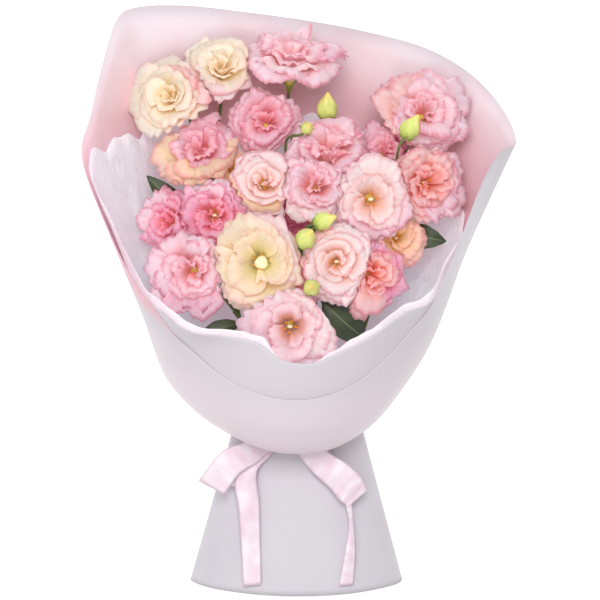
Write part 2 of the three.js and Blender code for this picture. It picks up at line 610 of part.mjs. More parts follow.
// Sprays: a stem from its cut foot through its slot in the tie, by other points if need be, to a fork, then
// branches to blooms, buds and leaves. A slot is a column and a row of the bundle at the tie.
const SLOT_PITCH = 5.1;
const FOOT_Y = -258;
const CALYX = [[0, -10], [2, -10], [3.8, -6], [4.2, 0], [0, 0]];
const BUD = [[0, -1.1], [0.45, -1.0], [0.85, -0.4], [0.72, 0.3], [0.28, 0.9], [0, 1.4]];
const SPRAYS = {
  spray_front_far_left: {
    slot: [-1.5, 1], by: [], fork: [-34, -48, 84], blooms: ["cream_open", "pale_left"], buds: [],
    leaves: [{ base: [-55, -22, 92], tip: [-104, -38, 100], width: 26, up: [0, 0.4, 1] }],
  },
  spray_front_left: {
    slot: [-0.5, 1], by: [], fork: [-6, -60, 90], blooms: ["pink_front", "pink_low"], buds: ["round"],
    leaves: [],
  },
  spray_front_right: {
    slot: [0.5, 1], by: [], fork: [16, -38, 84], blooms: ["pale_rose"],
    buds: ["pair_low", "pair_high"], leaves: [],
  },
  spray_front_far_right: {
    slot: [1.5, 1], by: [[38, -68, 72]], fork: [62, -44, 86], blooms: ["coral_lower", "peach_back"],
    buds: [],
    leaves: [{ base: [64, -36, 88], tip: [22, 0, 116], width: 32, up: [0.2, -0.3, 1] }],
  },
  spray_middle_far_left: {
    slot: [-1.5, 0], by: [], fork: [-66, -10, 58], blooms: ["deep_left", "pink_left"], buds: [],
    leaves: [{ base: [-110, 70, 60], tip: [-153, 126, 78], width: 26, up: [0.4, 0, 1] }],
  },
  spray_middle_left: {
    slot: [-0.5, 0], by: [], fork: [-34, 10, 55], blooms: ["pale_upper", "peach_open"], buds: [],
    leaves: [],
  },
  spray_middle_right: {
    slot: [0.5, 0], by: [], fork: [4, 10, 52], blooms: ["pink_middle", "deep_back"], buds: [],
    leaves: [{ base: [12, 60, 62], tip: [32, 84, 112], width: 20, up: [-0.6, -0.6, 0.6] }],
  },
  spray_middle_far_right: {
    slot: [1.5, 0], by: [], fork: [58, 10, 56], blooms: ["pale_right", "coral_right"], buds: [],
    leaves: [{ base: [104, 70, 62], tip: [148, 60, 76], width: 26, up: [-0.4, 0, 1] }],
  },
  spray_back_far_left: {
    slot: [-1.5, -1], by: [[-50, 0, 38]], fork: [-94, 118, 44], blooms: ["cream_left", "cream_top"],
    buds: [], leaves: [],
  },
  spray_back_left: {
    slot: [-0.5, -1], by: [[-26, 0, 30]], fork: [-56, 80, 30], blooms: ["peach_left", "pink_upper"],
    buds: [], leaves: [],
  },
  spray_back_right: {
    slot: [0.5, -1], by: [[2, 0, 30]], fork: [2, 86, 32], blooms: ["pink_top", "pink_wide"],
    buds: ["small"], leaves: [],
  },
  spray_back_far_right: {
    slot: [1.5, -1], by: [[34, 0, 34]], fork: [80, 92, 38], blooms: ["pink_top_right", "coral_back"],
    buds: ["upright", "slanted"], leaves: [],
  },
};

function leafSolid({ base, tip, width, up }) {
  const [from, to] = [vec(...base), vec(...tip)];
  const along = to.clone().sub(from);
  const side = along.clone().cross(vec(...up)).normalize();
  const rise = side.clone().cross(along).normalize();
  const grid = [[0, 0.06], [0.3, 0.86], [0.55, 1], [0.8, 0.62], [1, 0.05]].map(([share, half]) =>
    [-1, 0, 1].map((across) =>
      from
        .clone()
        .addScaledVector(along, share)
        .addScaledVector(side, (across * half * width) / 2)
        .addScaledVector(rise, width * (0.35 * Math.sin(Math.PI * share) + 0.12 * half * Math.abs(across))),
    ),
  );
  return blade(grid, LEAF_THICKNESS);
}

// A branch that leaves a stem at a point and arrives at its end along a direction
function branch(from, end, direction, via = []) {
  const arrival = end.clone().addScaledVector(direction, -12);
  const points = [from, ...(via.length ? via : [from.clone().lerp(arrival, 0.5)]), arrival, end];
  return stem(points, BRANCH_RADIUS, 4, 2 * (points.length - 1));
}

function spraySolid({ slot, by, fork, blooms, buds, leaves }) {
  const [column, row] = slot;
  const tie = vec(column * SLOT_PITCH, TIE_Y, TIE_Z + row * SLOT_PITCH);
  const foot = vec(tie.x * 3, FOOT_Y - 12 * chance(column + 2, row + 2), TIE_Z + row * 13);
  const end = vec(...fork);
  const entry = tie.clone().setY(TIE_Y + 14);
  const exit = tie.clone().setY(TIE_Y - 14);
  const course = [foot, exit, tie, entry, ...by.map((p) => vec(...p)), end];
  const pieces = [stem(course, STEM_RADIUS, 5, course.length - 1)];
  const before = end.clone().lerp(by.length ? vec(...by.at(-1)) : entry, 0.1);
  for (const name of blooms) {
    const { root, facing } = PLACES[name];
    pieces.push(turned(CALYX, 6, frameAt(root, facing)));
    pieces.push(branch(before, root.clone().addScaledVector(facing, -6), facing));
  }
  for (const name of buds) {
    const { at, radius, points, via } = BUDS[name];
    const [middle, facing] = [vec(...at), vec(...points).normalize()];
    const profile = BUD.map(([out, up]) => [out * radius, up * radius]);
    const foot = middle.clone().addScaledVector(facing, -0.8 * radius);
    pieces.push(turned(profile, 6, frameAt(middle, facing)));
    pieces.push(branch(before, foot, facing, [vec(...via)]));
  }
  for (const leaf of leaves) pieces.push(leafSolid(leaf));
  return fuse(pieces);
}

// The twine that binds the stems
function twineRing() {
  const oval = (grow) => {
    const shape = new THREE.Shape();
    const [w, h] = [1.5 * SLOT_PITCH + STEM_RADIUS + grow, SLOT_PITCH + STEM_RADIUS + grow];
    const corner = 2.5 + grow;
    shape.absarc(w - corner, h - corner, corner, 0, Math.PI / 2);
    shape.absarc(corner - w, h - corner, corner, Math.PI / 2, Math.PI);
    shape.absarc(corner - w, corner - h, corner, Math.PI, 1.5 * Math.PI);
    shape.absarc(w - corner, corner - h, corner, 1.5 * Math.PI, 2 * Math.PI);
    shape.closePath();
    return shape;
  };
  const ring = oval(CLEARANCE + TWINE);
  ring.holes.push(new THREE.Path(oval(CLEARANCE).getPoints(3)));
  const geometry = new THREE.ExtrudeGeometry(ring, { depth: 6, curveSegments: 3, bevelEnabled: false });
  return fuse([solid(geometry.rotateX(Math.PI / 2).translate(0, TIE_Y + 3, TIE_Z))]);
}

// The satin ribbon: a band round the neck, a knot over it, and strips as pairs of points on their two edges
const KNOT_AT = [-8, -107.5, 67.2];
const KNOT = [[0, -5], [5, -4.4], [7, 0], [5, 4.2], [0, 5]];
const BAND_ROWS = [0.05, 0.85];
const RIBBON_STRIPS = {
  loopFront: [
    [[-11, -109, 66.5], [-10, -114, 67]],
    [[-22, -121, 79], [-15, -128, 82]],
    [[-34, -130, 86], [-22, -142, 86]],
    [[-55, -141, 91], [-41, -161, 89]],
    [[-77, -150, 94], [-59, -172, 92]],
    [[-101, -180, 89], [-75, -194, 89]],
  ],
  loopBack: [
    [[-100, -180, 88], [-88, -187, 88]],
    [[-82, -172, 83], [-72, -188, 82]],
    [[-52, -160, 84], [-44, -176, 84]],
  ],
  leftTail: [
    [[-12, -108, 66], [-8, -113, 67]],
    [[-25, -125, 78], [-14, -128, 80.5]],
    [[-44, -144, 84], [-28, -154, 84]],
    [[-64, -179, 85], [-42, -170, 85]],
    [[-61, -206, 84], [-40, -204, 84]],
    [[-58, -246, 84], [-39, -246, 84]],
    [[-56, -286, 85], [-38, -284, 86]],
  ],
  rightStrand: [
    [[-6, -109, 66.5], [-8, -114, 67]],
    [[1, -121, 79], [-7, -128, 82]],
    [[14, -134, 87], [-4, -148, 86]],
    [[31, -152, 92], [12, -170, 88]],
    [[48, -163, 94], [30, -187, 88]],
    [[62, -177, 92], [42, -201, 88]],
    [[68, -190, 88], [49, -206, 87]],
  ],
  rightTail: [
    [[46, -201, 87.5], [52, -197, 88]],
    [[50, -222, 86], [54, -222, 84]],
    [[46, -251, 85], [56, -251, 84]],
    [[40, -286, 85], [54, -284, 84]],
  ],
};

function ribbonStrip(pairs) {
  const lines = pairs.map(([a, b]) => [vec(...a), vec(...b)]);
  const positions = [];
  lines.forEach(([a, b], i) => {
    const before = lines[Math.max(i - 1, 0)];
    const after = lines[Math.min(i + 1, lines.length - 1)];
    const run = after[0].clone().add(after[1]).sub(before[0]).sub(before[1]);
    const lift = run.cross(b.clone().sub(a)).setLength(RIBBON / 2);
    for (const p of [a.clone().add(lift), b.clone().add(lift), b.clone().sub(lift), a.clone().sub(lift)]) {
      positions.push(p.x, p.y, p.z);
    }
  });
  const index = [0, 1, 2, 0, 2, 3];
  for (let i = 0; i + 1 < lines.length; i += 1) {
    for (let k = 0; k < 4; k += 1) {
      const [a, b] = [4 * i + k, 4 * i + ((k + 1) % 4)];
      index.push(a, b + 4, b, a, a + 4, b + 4);
    }
  }
  const last = 4 * (lines.length - 1);
  index.push(last, last + 2, last + 1, last, last + 3, last + 2);
  const geometry = new THREE.BufferGeometry();
  geometry.setAttribute("position", new THREE.Float32BufferAttribute(positions, 3));
  geometry.setIndex(index);
  return solid(geometry);
}

function satinRibbon() {
  const band = (depth) =>
    BAND_ROWS.map((row) =>
      ANGLES.map((degrees) => wrapPoint(degrees, row).addScaledVector(wrapNormal(degrees, 0.5), -depth)),
    );
  const pieces = [solid(ringShell(band(CLEARANCE + RIBBON), band(CLEARANCE)))];
  pieces.push(turned(KNOT, 8, frameAt(vec(...KNOT_AT), vec(-0.3, 0, 1))));
  for (const pairs of Object.values(RIBBON_STRIPS)) pieces.push(ribbonStrip(pairs));
  return fuse(pieces);
}

const MATERIALS = {
  paper: new THREE.MeshStandardMaterial({ color: 0xf3d5da, roughness: 0.6, metalness: 0 }),
  film: new THREE.MeshStandardMaterial({ color: 0xd9d5dc, roughness: 0.5, metalness: 0 }),
  tissue: new THREE.MeshStandardMaterial({ color: 0xf4f3f7, roughness: 0.8, metalness: 0 }),
  ribbon: new THREE.MeshStandardMaterial({ color: 0xf8e2ee, roughness: 0.35, metalness: 0 }),
  green: new THREE.MeshStandardMaterial({ color: 0x6d8a55, roughness: 0.7, metalness: 0 }),
  twine: new THREE.MeshStandardMaterial({ color: 0xb9a27c, roughness: 0.9, metalness: 0 }),
  frilled: new THREE.MeshStandardMaterial({ color: 0xe9a0b2, roughness: 0.6, metalness: 0 }),
  rose: new THREE.MeshStandardMaterial({ color: 0xf6d9d2, roughness: 0.6, metalness: 0 }),
  open: new THREE.MeshStandardMaterial({ color: 0xf8dccb, roughness: 0.6, metalness: 0 }),
};

const bouquet = new THREE.Group();
bouquet.position.set(...MIDDLE);
function add(name, geometry, material) {
  const mesh = new THREE.Mesh(geometry, material);
  mesh.name = name;
  bouquet.add(mesh);
}

add("pink_paper", pinkPaper(), MATERIALS.paper);
add("frosted_film", frostedFilm(), MATERIALS.film);
add("film_skirt", filmSkirt(), MATERIALS.film);
add("tissue_liner", tissueLiner(), MATERIALS.tissue);
add("satin_ribbon", satinRibbon(), MATERIALS.ribbon);
add("stem_twine", twineRing(), MATERIALS.twine);
for (const [name, spray] of Object.entries(SPRAYS)) add(name, spraySolid(spray), MATERIALS.green);
for (const name of BLOOM_NAMES) add(`bloom_${name}`, bloomSolid(name), MATERIALS[BLOOMS[name].form]);

export default bouquet;
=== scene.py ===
# The looks of a hand bouquet of double lisianthus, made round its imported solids.
# Places are worked out in the millimetres that the solids are drawn in, and into_frame() moves them.
import math
from collections import namedtuple

import bpy
import numpy as np
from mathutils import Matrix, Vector


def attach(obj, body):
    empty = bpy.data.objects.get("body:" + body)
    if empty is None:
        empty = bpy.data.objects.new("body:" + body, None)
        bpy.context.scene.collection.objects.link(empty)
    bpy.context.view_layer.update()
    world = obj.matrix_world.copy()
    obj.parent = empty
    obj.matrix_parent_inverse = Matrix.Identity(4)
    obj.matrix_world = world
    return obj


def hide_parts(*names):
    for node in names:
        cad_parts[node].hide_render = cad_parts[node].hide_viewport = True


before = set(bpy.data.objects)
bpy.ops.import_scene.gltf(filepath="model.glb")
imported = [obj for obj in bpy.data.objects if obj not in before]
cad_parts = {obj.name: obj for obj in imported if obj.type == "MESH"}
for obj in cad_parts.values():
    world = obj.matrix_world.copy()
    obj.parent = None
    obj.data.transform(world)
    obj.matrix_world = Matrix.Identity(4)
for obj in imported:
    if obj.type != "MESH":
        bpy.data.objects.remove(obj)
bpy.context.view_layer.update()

# Driving dimensions, as the part has them
MM = 0.001
MIDDLE = np.array([-1.0, -3.0, 0.0])
PAPER = 1.0
FILM = 0.8
CLEARANCE = 0.35
FILM_SNUG = PAPER + CLEARANCE
TISSUE_SNUG = FILM_SNUG + FILM + CLEARANCE
FILM_LOOSE = PAPER + 3
TISSUE_LOOSE = FILM_LOOSE + FILM + 3
TIE_Y = -101
TIE_Z = 47
SLOT_PITCH = 5.1
FOOT_Y = -258
STEM_RADIUS = 2.2
BRANCH_RADIUS = 1.5
TWINE_RADIUS = 1.0

# How thick the fine sheets and petals are here
PAPER_SHEET = 0.4
FILM_SHEET = 0.3
TISSUE_SHEET = 0.25
PETAL_SHEET = 0.35
LEAF_SHEET = 0.5
RIBBON_SHEET = 0.3

# Painted glow: thin petals and tissue emit a share of their own colour, standing in for light that soaks
# through them
PETAL_GLOW = 0.08
TISSUE_GLOW = 0.32

# The photograph was taken straight down on the bouquet from this height
CAMERA_HEIGHT = 2600
CAMERA_LENS = 150.6
CAMERA_AT = (0.8, 1.0)

# The studio, in metres and watts: the floor, and each lamp's place, size and power
FLOOR_REACH = 12.0
FLOOR_Z = -0.0004
FLOOR_GLOW = 0.45
WORLD_LIGHT = 0.46
LAMPS = {"key": ((0.0, 0.6, 2.1), 0.9, 25), "fill": ((-0.5, -0.6, 2.0), 1.2, 13)}
WHITE = (1.0, 1.0, 1.0, 1.0)


def into_frame(points):
    return (np.asarray(points, float) + MIDDLE) * MM


def chance(i, j):
    wave = math.sin(i * 12.9898 + j * 78.233) * 43758.5453
    return wave - math.floor(wave)


def unit(vectors):
    return vectors / np.maximum(np.linalg.norm(vectors, axis=-1, keepdims=True), 1e-12)


# Materials


def srgb(red, green, blue):
    """A colour given as it shows on a screen, from 0 to 255, in the linear values that shaders take"""
    shown = np.array([red, green, blue]) / 255
    linear = np.where(shown <= 0.04045, shown / 12.92, ((shown + 0.055) / 1.055) ** 2.4)
    return (*linear.tolist(), 1.0)


class Shader:
    """A material with one principled surface, and short ways to add the nodes of its pattern"""

    def __init__(self, name, constants):
        self.material = bpy.data.materials.new(name)
        self.material.use_nodes = True
        self.tree = self.material.node_tree
        self.surface = self.tree.nodes["Principled BSDF"]
        for socket, value in constants.items():
            self.surface.inputs[socket].default_value = value

    def put(self, value, socket):
        if isinstance(value, bpy.types.NodeSocket):
            self.tree.links.new(value, socket)
        else:
            socket.default_value = value

    def node(self, kind, inputs, **settings):
        node = self.tree.nodes.new("ShaderNode" + kind)
        for key, value in settings.items():
            setattr(node, key, value)
        for key, value in inputs.items():
            self.put(value, node.inputs[key])
        return node

    def math(self, operation, a, b=0.0):
        return self.node("Math", {0: a, 1: b}, operation=operation).outputs[0]

    def scaled(self, value, factor, offset=0.0):
        return self.node("Math", {0: value, 1: factor, 2: offset}, operation="MULTIPLY_ADD").outputs[0]

    def mix(self, a, b, share):
        return self.node("Mix", {0: share, 6: a, 7: b}, data_type="RGBA").outputs[2]

    def marks(self):
        """What each point of a piece is marked with, as marked() gives it"""
        attribute = self.node("Attribute", {}, attribute_name="mark")
        split = self.node("SeparateColor", {0: attribute.outputs["Color"]})
        return [*split.outputs[:3], attribute.outputs["Alpha"]]

    def vector(self, x, y, z):
        return self.node("CombineXYZ", {0: x, 1: y, 2: z}).outputs[0]

    def where(self, scale=(1, 1, 1)):
        coordinates = self.node("TexCoord", {}).outputs["Object"]
        return self.node("Mapping", {"Vector": coordinates, "Scale": scale}).outputs[0]

    def noise(self, vector, scale, detail=2.0, roughness=0.5, distortion=0.0):
        inputs = {"Vector": vector, "Scale": scale, "Detail": detail}
        inputs |= {"Roughness": roughness, "Distortion": distortion}
        return self.node("TexNoise", inputs).outputs[0]

    def ramp(self, value, stops):
        node = self.node("ValToRGB", {0: value})
        elements = node.color_ramp.elements
        while len(elements) < len(stops):
            elements.new(0.5)
        for element, (position, colour) in zip(elements, stops):
            element.position = position
            element.color = colour
        return node.outputs[0]

    def between(self, value, low, high):
        """0 below low and 1 above high, with a smooth rise"""
        return self.node("MapRange", {0: value, 1: low, 2: high}, interpolation_type="SMOOTHSTEP").outputs[0]

    def bump(self, height, strength, distance):
        inputs = {"Height": height, "Strength": strength, "Distance": distance}
        self.put(self.node("Bump", inputs).outputs[0], self.surface.inputs["Normal"])

    def colour(self, value):
        self.put(value, self.surface.inputs["Base Color"])

    def roughness(self, value):
        self.put(value, self.surface.inputs["Roughness"])


# Petal colours: the inside's throat, low part, middle and tip, then the rim's own line, the veins and the
# foot of the outside
LOOK_PARTS = ("throat", "low", "mid", "tip", "edge", "vein", "under")
LOOKS = {
    "cream": [
        (226, 176, 62), (250, 218, 160), (252, 228, 196), (252, 230, 210), (248, 206, 184), (246, 204, 168),
        (232, 222, 130),
    ],
    "ivory": [
        (186, 178, 60), (247, 226, 156), (252, 222, 180), (253, 218, 194), (247, 188, 170), (246, 200, 156),
        (226, 222, 120),
    ],
    "pale": [
        (228, 134, 40), (249, 186, 158), (253, 214, 208), (254, 230, 230), (238, 136, 156), (244, 180, 184),
        (240, 222, 150),
    ],
    "pink": [
        (226, 84, 44), (242, 142, 138), (249, 192, 201), (251, 214, 224), (218, 90, 126), (238, 146, 164),
        (244, 222, 150),
    ],
    "rosy": [
        (214, 66, 50), (232, 112, 118), (246, 170, 184), (251, 200, 214), (212, 74, 114), (230, 120, 144),
        (240, 210, 140),
    ],
    "hot": [
        (226, 170, 50), (236, 110, 100), (245, 138, 162), (251, 184, 208), (208, 48, 104), (222, 86, 128),
        (240, 190, 140),
    ],
    "coral": [
        (224, 70, 34), (238, 104, 82), (250, 170, 162), (253, 206, 204), (224, 86, 106), (238, 126, 122),
        (246, 176, 120),
    ],
    "peach": [
        (220, 156, 46), (248, 204, 130), (251, 208, 164), (250, 192, 172), (228, 122, 130), (241, 176, 122),
        (240, 214, 120),
    ],
    "blush": [
        (150, 70, 14), (230, 148, 118), (249, 203, 210), (252, 219, 226), (240, 166, 188), (240, 176, 190),
        (244, 206, 190),
    ],
    # A darker pink, painted shade for blooms that sit in shade at the back
    "shaded_pink": [
        (150, 40, 60), (176, 60, 90), (196, 84, 118), (214, 112, 142), (170, 40, 86), (160, 44, 84),
        (200, 110, 100),
    ],
}


def petal_material(name, look, outside):
    """Satiny petal tissue: a gradient from the throat, fine veins along the petal, and a darker rim"""
    colours = {part: srgb(*value) for part, value in zip(LOOK_PARTS, look)}
    shader = Shader(
        name,
        {
            "Roughness": 0.55,
            "Specular IOR Level": 0.3,
            "Subsurface Weight": 0.6,
            "Subsurface Radius": (0.006, 0.003, 0.0024),
            "Subsurface Scale": 1.0,
            "Sheen Weight": 0.15,
            "Sheen Roughness": 0.4,
            # Painted glow: each petal emits a little of its mid colour
            "Emission Color": colours["mid"],
            "Emission Strength": PETAL_GLOW,
        },
    )
    along, across, draw, whorl = shader.marks()
    seed = shader.scaled(draw, 40.0)
    drawn_out = shader.vector(shader.scaled(across, 26.0), shader.scaled(along, 1.6), seed)
    fibre = shader.noise(drawn_out, 1.0, 3.0, 0.6)
    blotch = shader.noise(shader.where(), 55.0, 2.0)
    drift = shader.math("ADD", shader.scaled(fibre, 0.22, -0.11), shader.scaled(blotch, 0.3, -0.15))
    foot = [(0.12, "under"), (0.4, "mid")] if outside else [(0.2, "throat"), (0.46, "low")]
    stops = [(position, colours[part]) for position, part in [*foot, (0.72, "mid"), (0.93, "tip")]]
    tint = shader.ramp(shader.math("ADD", along, drift), stops)
    drawn_out = shader.vector(shader.scaled(across, 60.0), shader.scaled(along, 1.2), seed)
    fine = shader.noise(drawn_out, 1.0, 2.0)
    lines = shader.between(fine, 0.52, 0.72)
    tint = shader.mix(tint, colours["vein"], shader.scaled(lines, 0.28))
    rim = shader.between(shader.math("ADD", along, shader.scaled(fibre, 0.14, -0.07)), 0.88, 1.0)
    tint = shader.mix(tint, colours["edge"], shader.scaled(rim, 0.85))
    deeper = shader.scaled(shader.between(whorl, 0.2, 1.0), 0.22)
    tint = shader.mix(tint, colours["low"], deeper)
    shader.colour(shader.mix(tint, colours["tip"], shader.scaled(draw, 0.24)))
    shader.roughness(shader.scaled(blotch, 0.2, 0.45))
    shader.bump(shader.math("ADD", fine, shader.scaled(fibre, 0.6)), 0.35, 0.0004)
    return shader.material


def plain_material(name, dark, light, roughness, scale=120.0, stretch=(1, 1, 1), bump=0.2, constants=None):
    """A surface that varies between two colours, with a fine grain"""
    shader = Shader(name, {"Roughness": roughness, "Specular IOR Level": 0.35, **(constants or {})})
    here = shader.where(stretch)
    cloud = shader.noise(here, scale, 3.0, 0.6)
    grain = shader.noise(here, scale * 8, 2.0)
    shader.colour(shader.ramp(cloud, [(0.3, srgb(*dark)), (0.7, srgb(*light))]))
    shader.roughness(shader.scaled(grain, 0.2, roughness - 0.1))
    shader.bump(grain, bump, 0.0003)
    return shader.material


def paper_material(name, stops, painted_shade_pink):
    """Pearly paper: its colour runs from the neck to the edge, with a saturated pink of painted shade on its
    left flank near the edge, and a fine tooth
    """
    shader = Shader(name, {"Specular IOR Level": 0.4, "Sheen Weight": 0.1, "Sheen Roughness": 0.5})
    along, _, side, _ = shader.marks()
    cloud = shader.noise(shader.where(), 9.0, 3.0, 0.55)
    share = shader.math("ADD", along, shader.scaled(cloud, 0.12, -0.06))
    tint = shader.ramp(share, [(position, srgb(*colour)) for position, colour in stops])
    # Painted shade: near the edge on the left flank the paper takes a saturated pink
    high = shader.math("MULTIPLY", side, shader.between(along, 0.84, 0.95))
    shader.colour(shader.mix(tint, srgb(*painted_shade_pink), high))
    tooth = shader.noise(shader.where(), 2600.0, 2.0, 0.6)
    shader.roughness(shader.scaled(tooth, 0.16, 0.42))
    shader.bump(tooth, 0.1, 0.0002)
    return shader.material


def film_material():
    """Frosted film: milky grey-lilac with a soft gloss and very faint haze"""
    gloss = {"Specular IOR Level": 0.45, "Coat Weight": 0.1, "Coat Roughness": 0.5}
    shader = Shader("frosted_film_finish", gloss)
    along = shader.marks()[0]
    haze = shader.noise(shader.where(), 14.0, 3.0, 0.6)
    tint = shader.mix(srgb(195, 190, 197), srgb(205, 199, 206), haze)
    shader.colour(shader.mix(tint, srgb(199, 192, 199), shader.between(along, 0.5, 0.95)))
    frost = shader.noise(shader.where(), 3200.0, 2.0, 0.6)
    shader.roughness(shader.scaled(frost, 0.18, 0.44))
    shader.bump(frost, 0.12, 0.0002)
    return shader.material


def tissue_material():
    """Thin white tissue: streaks of fibre, a painted highlight on its creases, painted pink light lower down
    where the paper shows through, and painted shade behind the blooms
    """
    shader = Shader(
        "tissue_finish",
        {
            "Specular IOR Level": 0.3,
            "Subsurface Weight": 0.7,
            "Subsurface Radius": (0.008, 0.007, 0.007),
            "Subsurface Scale": 1.0,
            "Sheen Weight": 0.2,
            "Sheen Roughness": 0.5,
            # Painted glow: the tissue emits a pale lilac white
            "Emission Color": srgb(222, 222, 234),
            "Emission Strength": TISSUE_GLOW,
        },
    )
    along, from_back, crease, _ = shader.marks()
    fibre = shader.noise(shader.where((1, 0.25, 1)), 360.0, 4.0, 0.7, 1.2)
    cloud = shader.noise(shader.where(), 30.0, 3.0, 0.6)
    share = shader.math("ADD", shader.scaled(cloud, 0.5), shader.scaled(fibre, 0.7))
    thin = shader.between(share, 0.5, 0.72)
    tint = shader.mix(srgb(248, 250, 254), srgb(218, 210, 224), thin)
    # Painted highlight: near its creases the tissue turns almost white
    tint = shader.mix(tint, srgb(253, 254, 255), shader.scaled(crease, 0.8))
    # Painted pink light lower down, for the pink paper showing through the tissue
    tint = shader.mix(srgb(236, 196, 208), tint, shader.between(along, 0.2, 0.75))
    # Painted shade: low on the back of the tissue, behind the blooms, it turns a dark dusty rose
    unshaded = shader.math("MAXIMUM", shader.between(from_back, 0.09, 0.19), shader.between(along, 0.9, 0.93))
    shader.colour(shader.mix(srgb(178, 92, 108), tint, unshaded))
    shader.roughness(shader.scaled(fibre, 0.2, 0.6))
    shader.bump(shader.math("ADD", fibre, shader.scaled(cloud, 2.5)), 0.9, 0.0016)
    return shader.material


def satin_material():
    """Woven satin: pale pink with painted sheen in paler and pinker bands along its length, glossy, with
    fine ribs and a selvedge at both edges
    """
    gloss = {"Specular IOR Level": 0.5, "Sheen Weight": 0.35, "Sheen Roughness": 0.3, "Anisotropic": 0.4}
    shader = Shader("satin_finish", gloss)
    along, across, draw, _ = shader.marks()
    ribs = shader.node("TexWave", {"Vector": shader.vector(along, 0.0, 0.0), "Scale": 260.0}).outputs[1]
    # Painted sheen: paler and pinker bands that run along the strip
    cloud = shader.noise(shader.vector(shader.scaled(along, 14.0), across, draw), 1.0, 2.0)
    stops = [(0.3, srgb(222, 194, 209)), (0.52, srgb(227, 209, 219)), (0.7, srgb(233, 224, 231))]
    tint = shader.ramp(cloud, stops)
    edge = shader.between(shader.math("ABSOLUTE", shader.scaled(across, 2.0, -1.0)), 0.9, 1.0)
    shader.colour(shader.mix(tint, srgb(228, 192, 210), shader.scaled(edge, 0.6)))
    shader.roughness(shader.scaled(ribs, 0.12, 0.26))
    shader.bump(ribs, 0.08, 0.0002)
    return shader.material


def leaf_material():
    """Dark waxy leaf: a paler midrib and side veins, with a blue-grey bloom of wax"""
    shader = Shader("leaf_finish", {"Specular IOR Level": 0.45, "Coat Weight": 0.08, "Coat Roughness": 0.4})
    along, across, _, _ = shader.marks()
    side = shader.math("ABSOLUTE", shader.scaled(across, 2.0, -1.0))
    slanted = shader.math("SUBTRACT", shader.scaled(along, 9.0), shader.scaled(side, 3.0))
    stripe = shader.math("ABSOLUTE", shader.math("SINE", shader.scaled(slanted, math.pi)))
    vein = shader.math("SUBTRACT", 1.0, shader.between(stripe, 0.0, 0.16))
    rib = shader.math("SUBTRACT", 1.0, shader.between(side, 0.02, 0.08))
    cloud = shader.noise(shader.where(), 70.0, 3.0, 0.6)
    tint = shader.ramp(cloud, [(0.3, srgb(40, 54, 34)), (0.7, srgb(66, 82, 54))])
    tint = shader.mix(tint, srgb(90, 106, 72), shader.scaled(vein, 0.35))
    shader.colour(shader.mix(tint, srgb(118, 132, 90), shader.scaled(rib, 0.7)))
    shader.roughness(shader.scaled(cloud, 0.2, 0.4))
    shader.bump(shader.math("ADD", vein, rib), 0.3, 0.0004)
    return shader.material


def bud_material():
    """A furled bud: yellow-green, with ribs that follow its twist and a paler tip"""
    shader = Shader(
        "bud_finish",
        {
            "Specular IOR Level": 0.35,
            "Subsurface Weight": 0.2,
            "Subsurface Radius": (0.003, 0.003, 0.001),
            "Subsurface Scale": 1.0,
        },
    )
    along, across, draw, _ = shader.marks()
    drawn_out = shader.vector(shader.scaled(across, 22.0), shader.scaled(along, 2.0), draw)
    rib = shader.noise(drawn_out, 1.0, 2.0)
    shifted = shader.math("ADD", along, shader.scaled(rib, 0.3, -0.15))
    stops = [(0.05, srgb(150, 172, 80)), (0.35, srgb(204, 216, 118)), (0.7, srgb(224, 228, 138))]
    tint = shader.ramp(shifted, [*stops, (0.95, srgb(232, 214, 120))])
    shader.colour(shader.mix(tint, srgb(160, 180, 92), shader.scaled(shader.between(rib, 0.55, 0.7), 0.4)))
    shader.roughness(shader.scaled(rib, 0.2, 0.4))
    shader.bump(rib, 0.4, 0.0006)
    return shader.material


PETALS = {
    name: [petal_material(f"petal_{name}_{side}", look, side == "outside") for side in ("inside", "outside")]
    for name, look in LOOKS.items()
}
HEART_GREEN = plain_material("heart_finish", (196, 190, 70), (226, 214, 110), 0.5)
FILAMENT = plain_material("filament_finish", (222, 214, 120), (240, 232, 160), 0.5)
ANTHER = plain_material("anther_finish", (200, 112, 10), (238, 172, 40), 0.8, 900.0, bump=0.6)
PISTIL_WHITE = plain_material("pistil_finish", (236, 226, 180), (250, 244, 214), 0.5, 200.0)
STALK = plain_material("stalk_finish", (74, 96, 50), (112, 136, 76), 0.5, 140.0, (1, 0.2, 1))
SEPAL = plain_material("sepal_finish", (108, 128, 60), (160, 172, 84), 0.5)
LEAF = leaf_material()
BUD_SKIN = bud_material()
# The last colour given to each paper is the pink of painted shade on its left flank
PAPER_OUT = paper_material(
    "paper_outside",
    [(0.0, (214, 194, 201)), (0.4, (223, 206, 212)), (0.65, (216, 204, 210)), (0.85, (202, 195, 202))],
    (222, 164, 176),
)
# Inside, the pink deepens away from the edge: painted shade and painted pink bounce light near the blooms
PAPER_IN = paper_material(
    "paper_inside",
    [(0.7, (210, 138, 149)), (0.87, (210, 150, 160)), (0.94, (219, 181, 190)), (1.0, (231, 217, 224))],
    (240, 186, 197),
)
FROSTED = film_material()
TISSUE_WHITE = tissue_material()
SATIN = satin_material()
JUTE = plain_material("twine_finish", (150, 124, 82), (196, 168, 120), 0.85, 500.0, bump=0.8)


# Meshes


